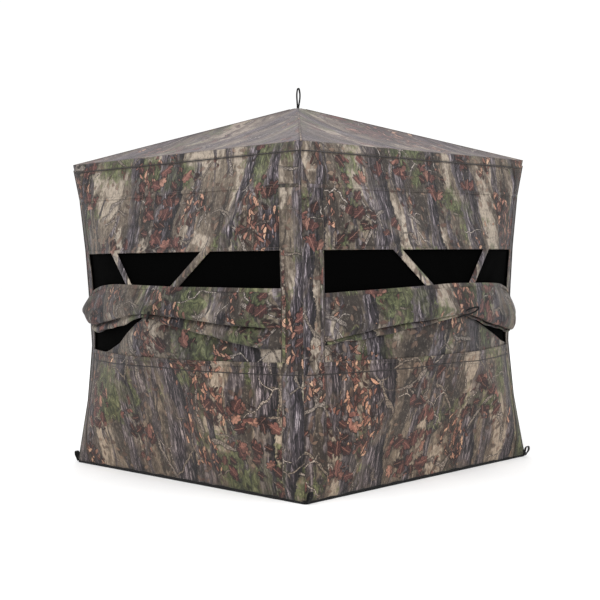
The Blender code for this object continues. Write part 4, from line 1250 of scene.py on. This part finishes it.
# ---------------------------------------------------------------- studio
def plain(name, rgb, rough=0.9):
    N = Nodes(name)
    n = N.noise(N.obj(), 3.0, 3, 0.5, dims="3D")
    N.set(Base_Color=N.ramp(n, [(0.3, tuple(c * 0.985 for c in rgb[:3]) + (1,)), (0.7, rgb)]), Roughness=rough)
    return N.mat


bpy.ops.mesh.primitive_plane_add(size=90, location=(0, 0, -0.0005))
floor = bpy.context.object
floor.name = "studio_floor"
floor.data.materials.append(plain("studio_floor", (0.985, 0.985, 0.985, 1)))

world = bpy.data.worlds.new("studio")
bpy.context.scene.world = world
world.use_nodes = True
world.node_tree.nodes["Background"].inputs[0].default_value = (1, 1, 1, 1)
world.node_tree.nodes["Background"].inputs[1].default_value = 1.04


def area(name, loc, target, size, power):
    l = bpy.data.lights.new(name, "AREA")
    l.energy, l.shape, l.size = power, "SQUARE", size
    o = bpy.data.objects.new(name, l)
    bpy.context.scene.collection.objects.link(o)
    o.location = loc
    o.rotation_euler = (Vector(target) - Vector(loc)).to_track_quat("-Z", "Y").to_euler()


area("key", (-6.0, -3.0, 5.0), (0, 0, 0.9), 4.0, 260)
area("fill", (-2.0, -7.0, 3.5), (0, 0, 0.9), 4.0, 140)
area("rim", (5.0, 5.0, 5.0), (0, 0, 1.2), 4.0, 120)

cam = bpy.data.cameras.new("camera")
cam.lens, cam.sensor_width = 71.37, 36.0
co = bpy.data.objects.new("camera", cam)
bpy.context.scene.collection.objects.link(co)
phi, pitch, roll = 0.7957, 0.0337, -0.0117
fwd = Vector((math.sin(phi) * math.cos(pitch), math.cos(phi) * math.cos(pitch), -math.sin(pitch)))
co.rotation_mode = "QUATERNION"
co.location = (-4.932, -4.831, 1.160)
co.rotation_quaternion = fwd.to_track_quat("-Z", "Y") @ Matrix.Rotation(roll, 3, "Z").to_quaternion()
bpy.context.scene.camera = co
bpy.context.scene.view_settings.view_transform = "Standard"

# ---------------------------------------------------------------- areas of the cloth pieces, worked out and not kept
def area_of(ob):
    me = ob.data
    me.calc_loop_triangles()
    p = np.array([v.co for v in me.vertices])
    t = np.array([tuple(x.vertices) for x in me.loop_triangles])
    return float(np.linalg.norm(np.cross(p[t[:, 1]] - p[t[:, 0]], p[t[:, 2]] - p[t[:, 0]]), axis=1).sum() / 2)


for wall in WALLS:
    ob = bpy.data.objects[f"{wall}_wall_skin"]
    round(area_of(ob), 3)
    for side in ("left", "right"):
        st = bpy.data.objects[f"{wall}_strip_{side}"]
        round(area_of(st), 3)
    ob = bpy.data.objects[f"roof_gore_{wall}"]
    round(area_of(ob), 3)
for wall in ("front", "left", "right"):
    ob = bpy.data.objects[f"{wall}_window_cover_cloth"]
    ob = bpy.data.objects[f"{wall}_sill_panel"]
    round(min(area_of(ob), 1.72 * 0.26), 3)
    ob = bpy.data.objects[f"{wall}_window_mesh"]
    round(area_of(ob), 3)
round(area_of(door), 3)
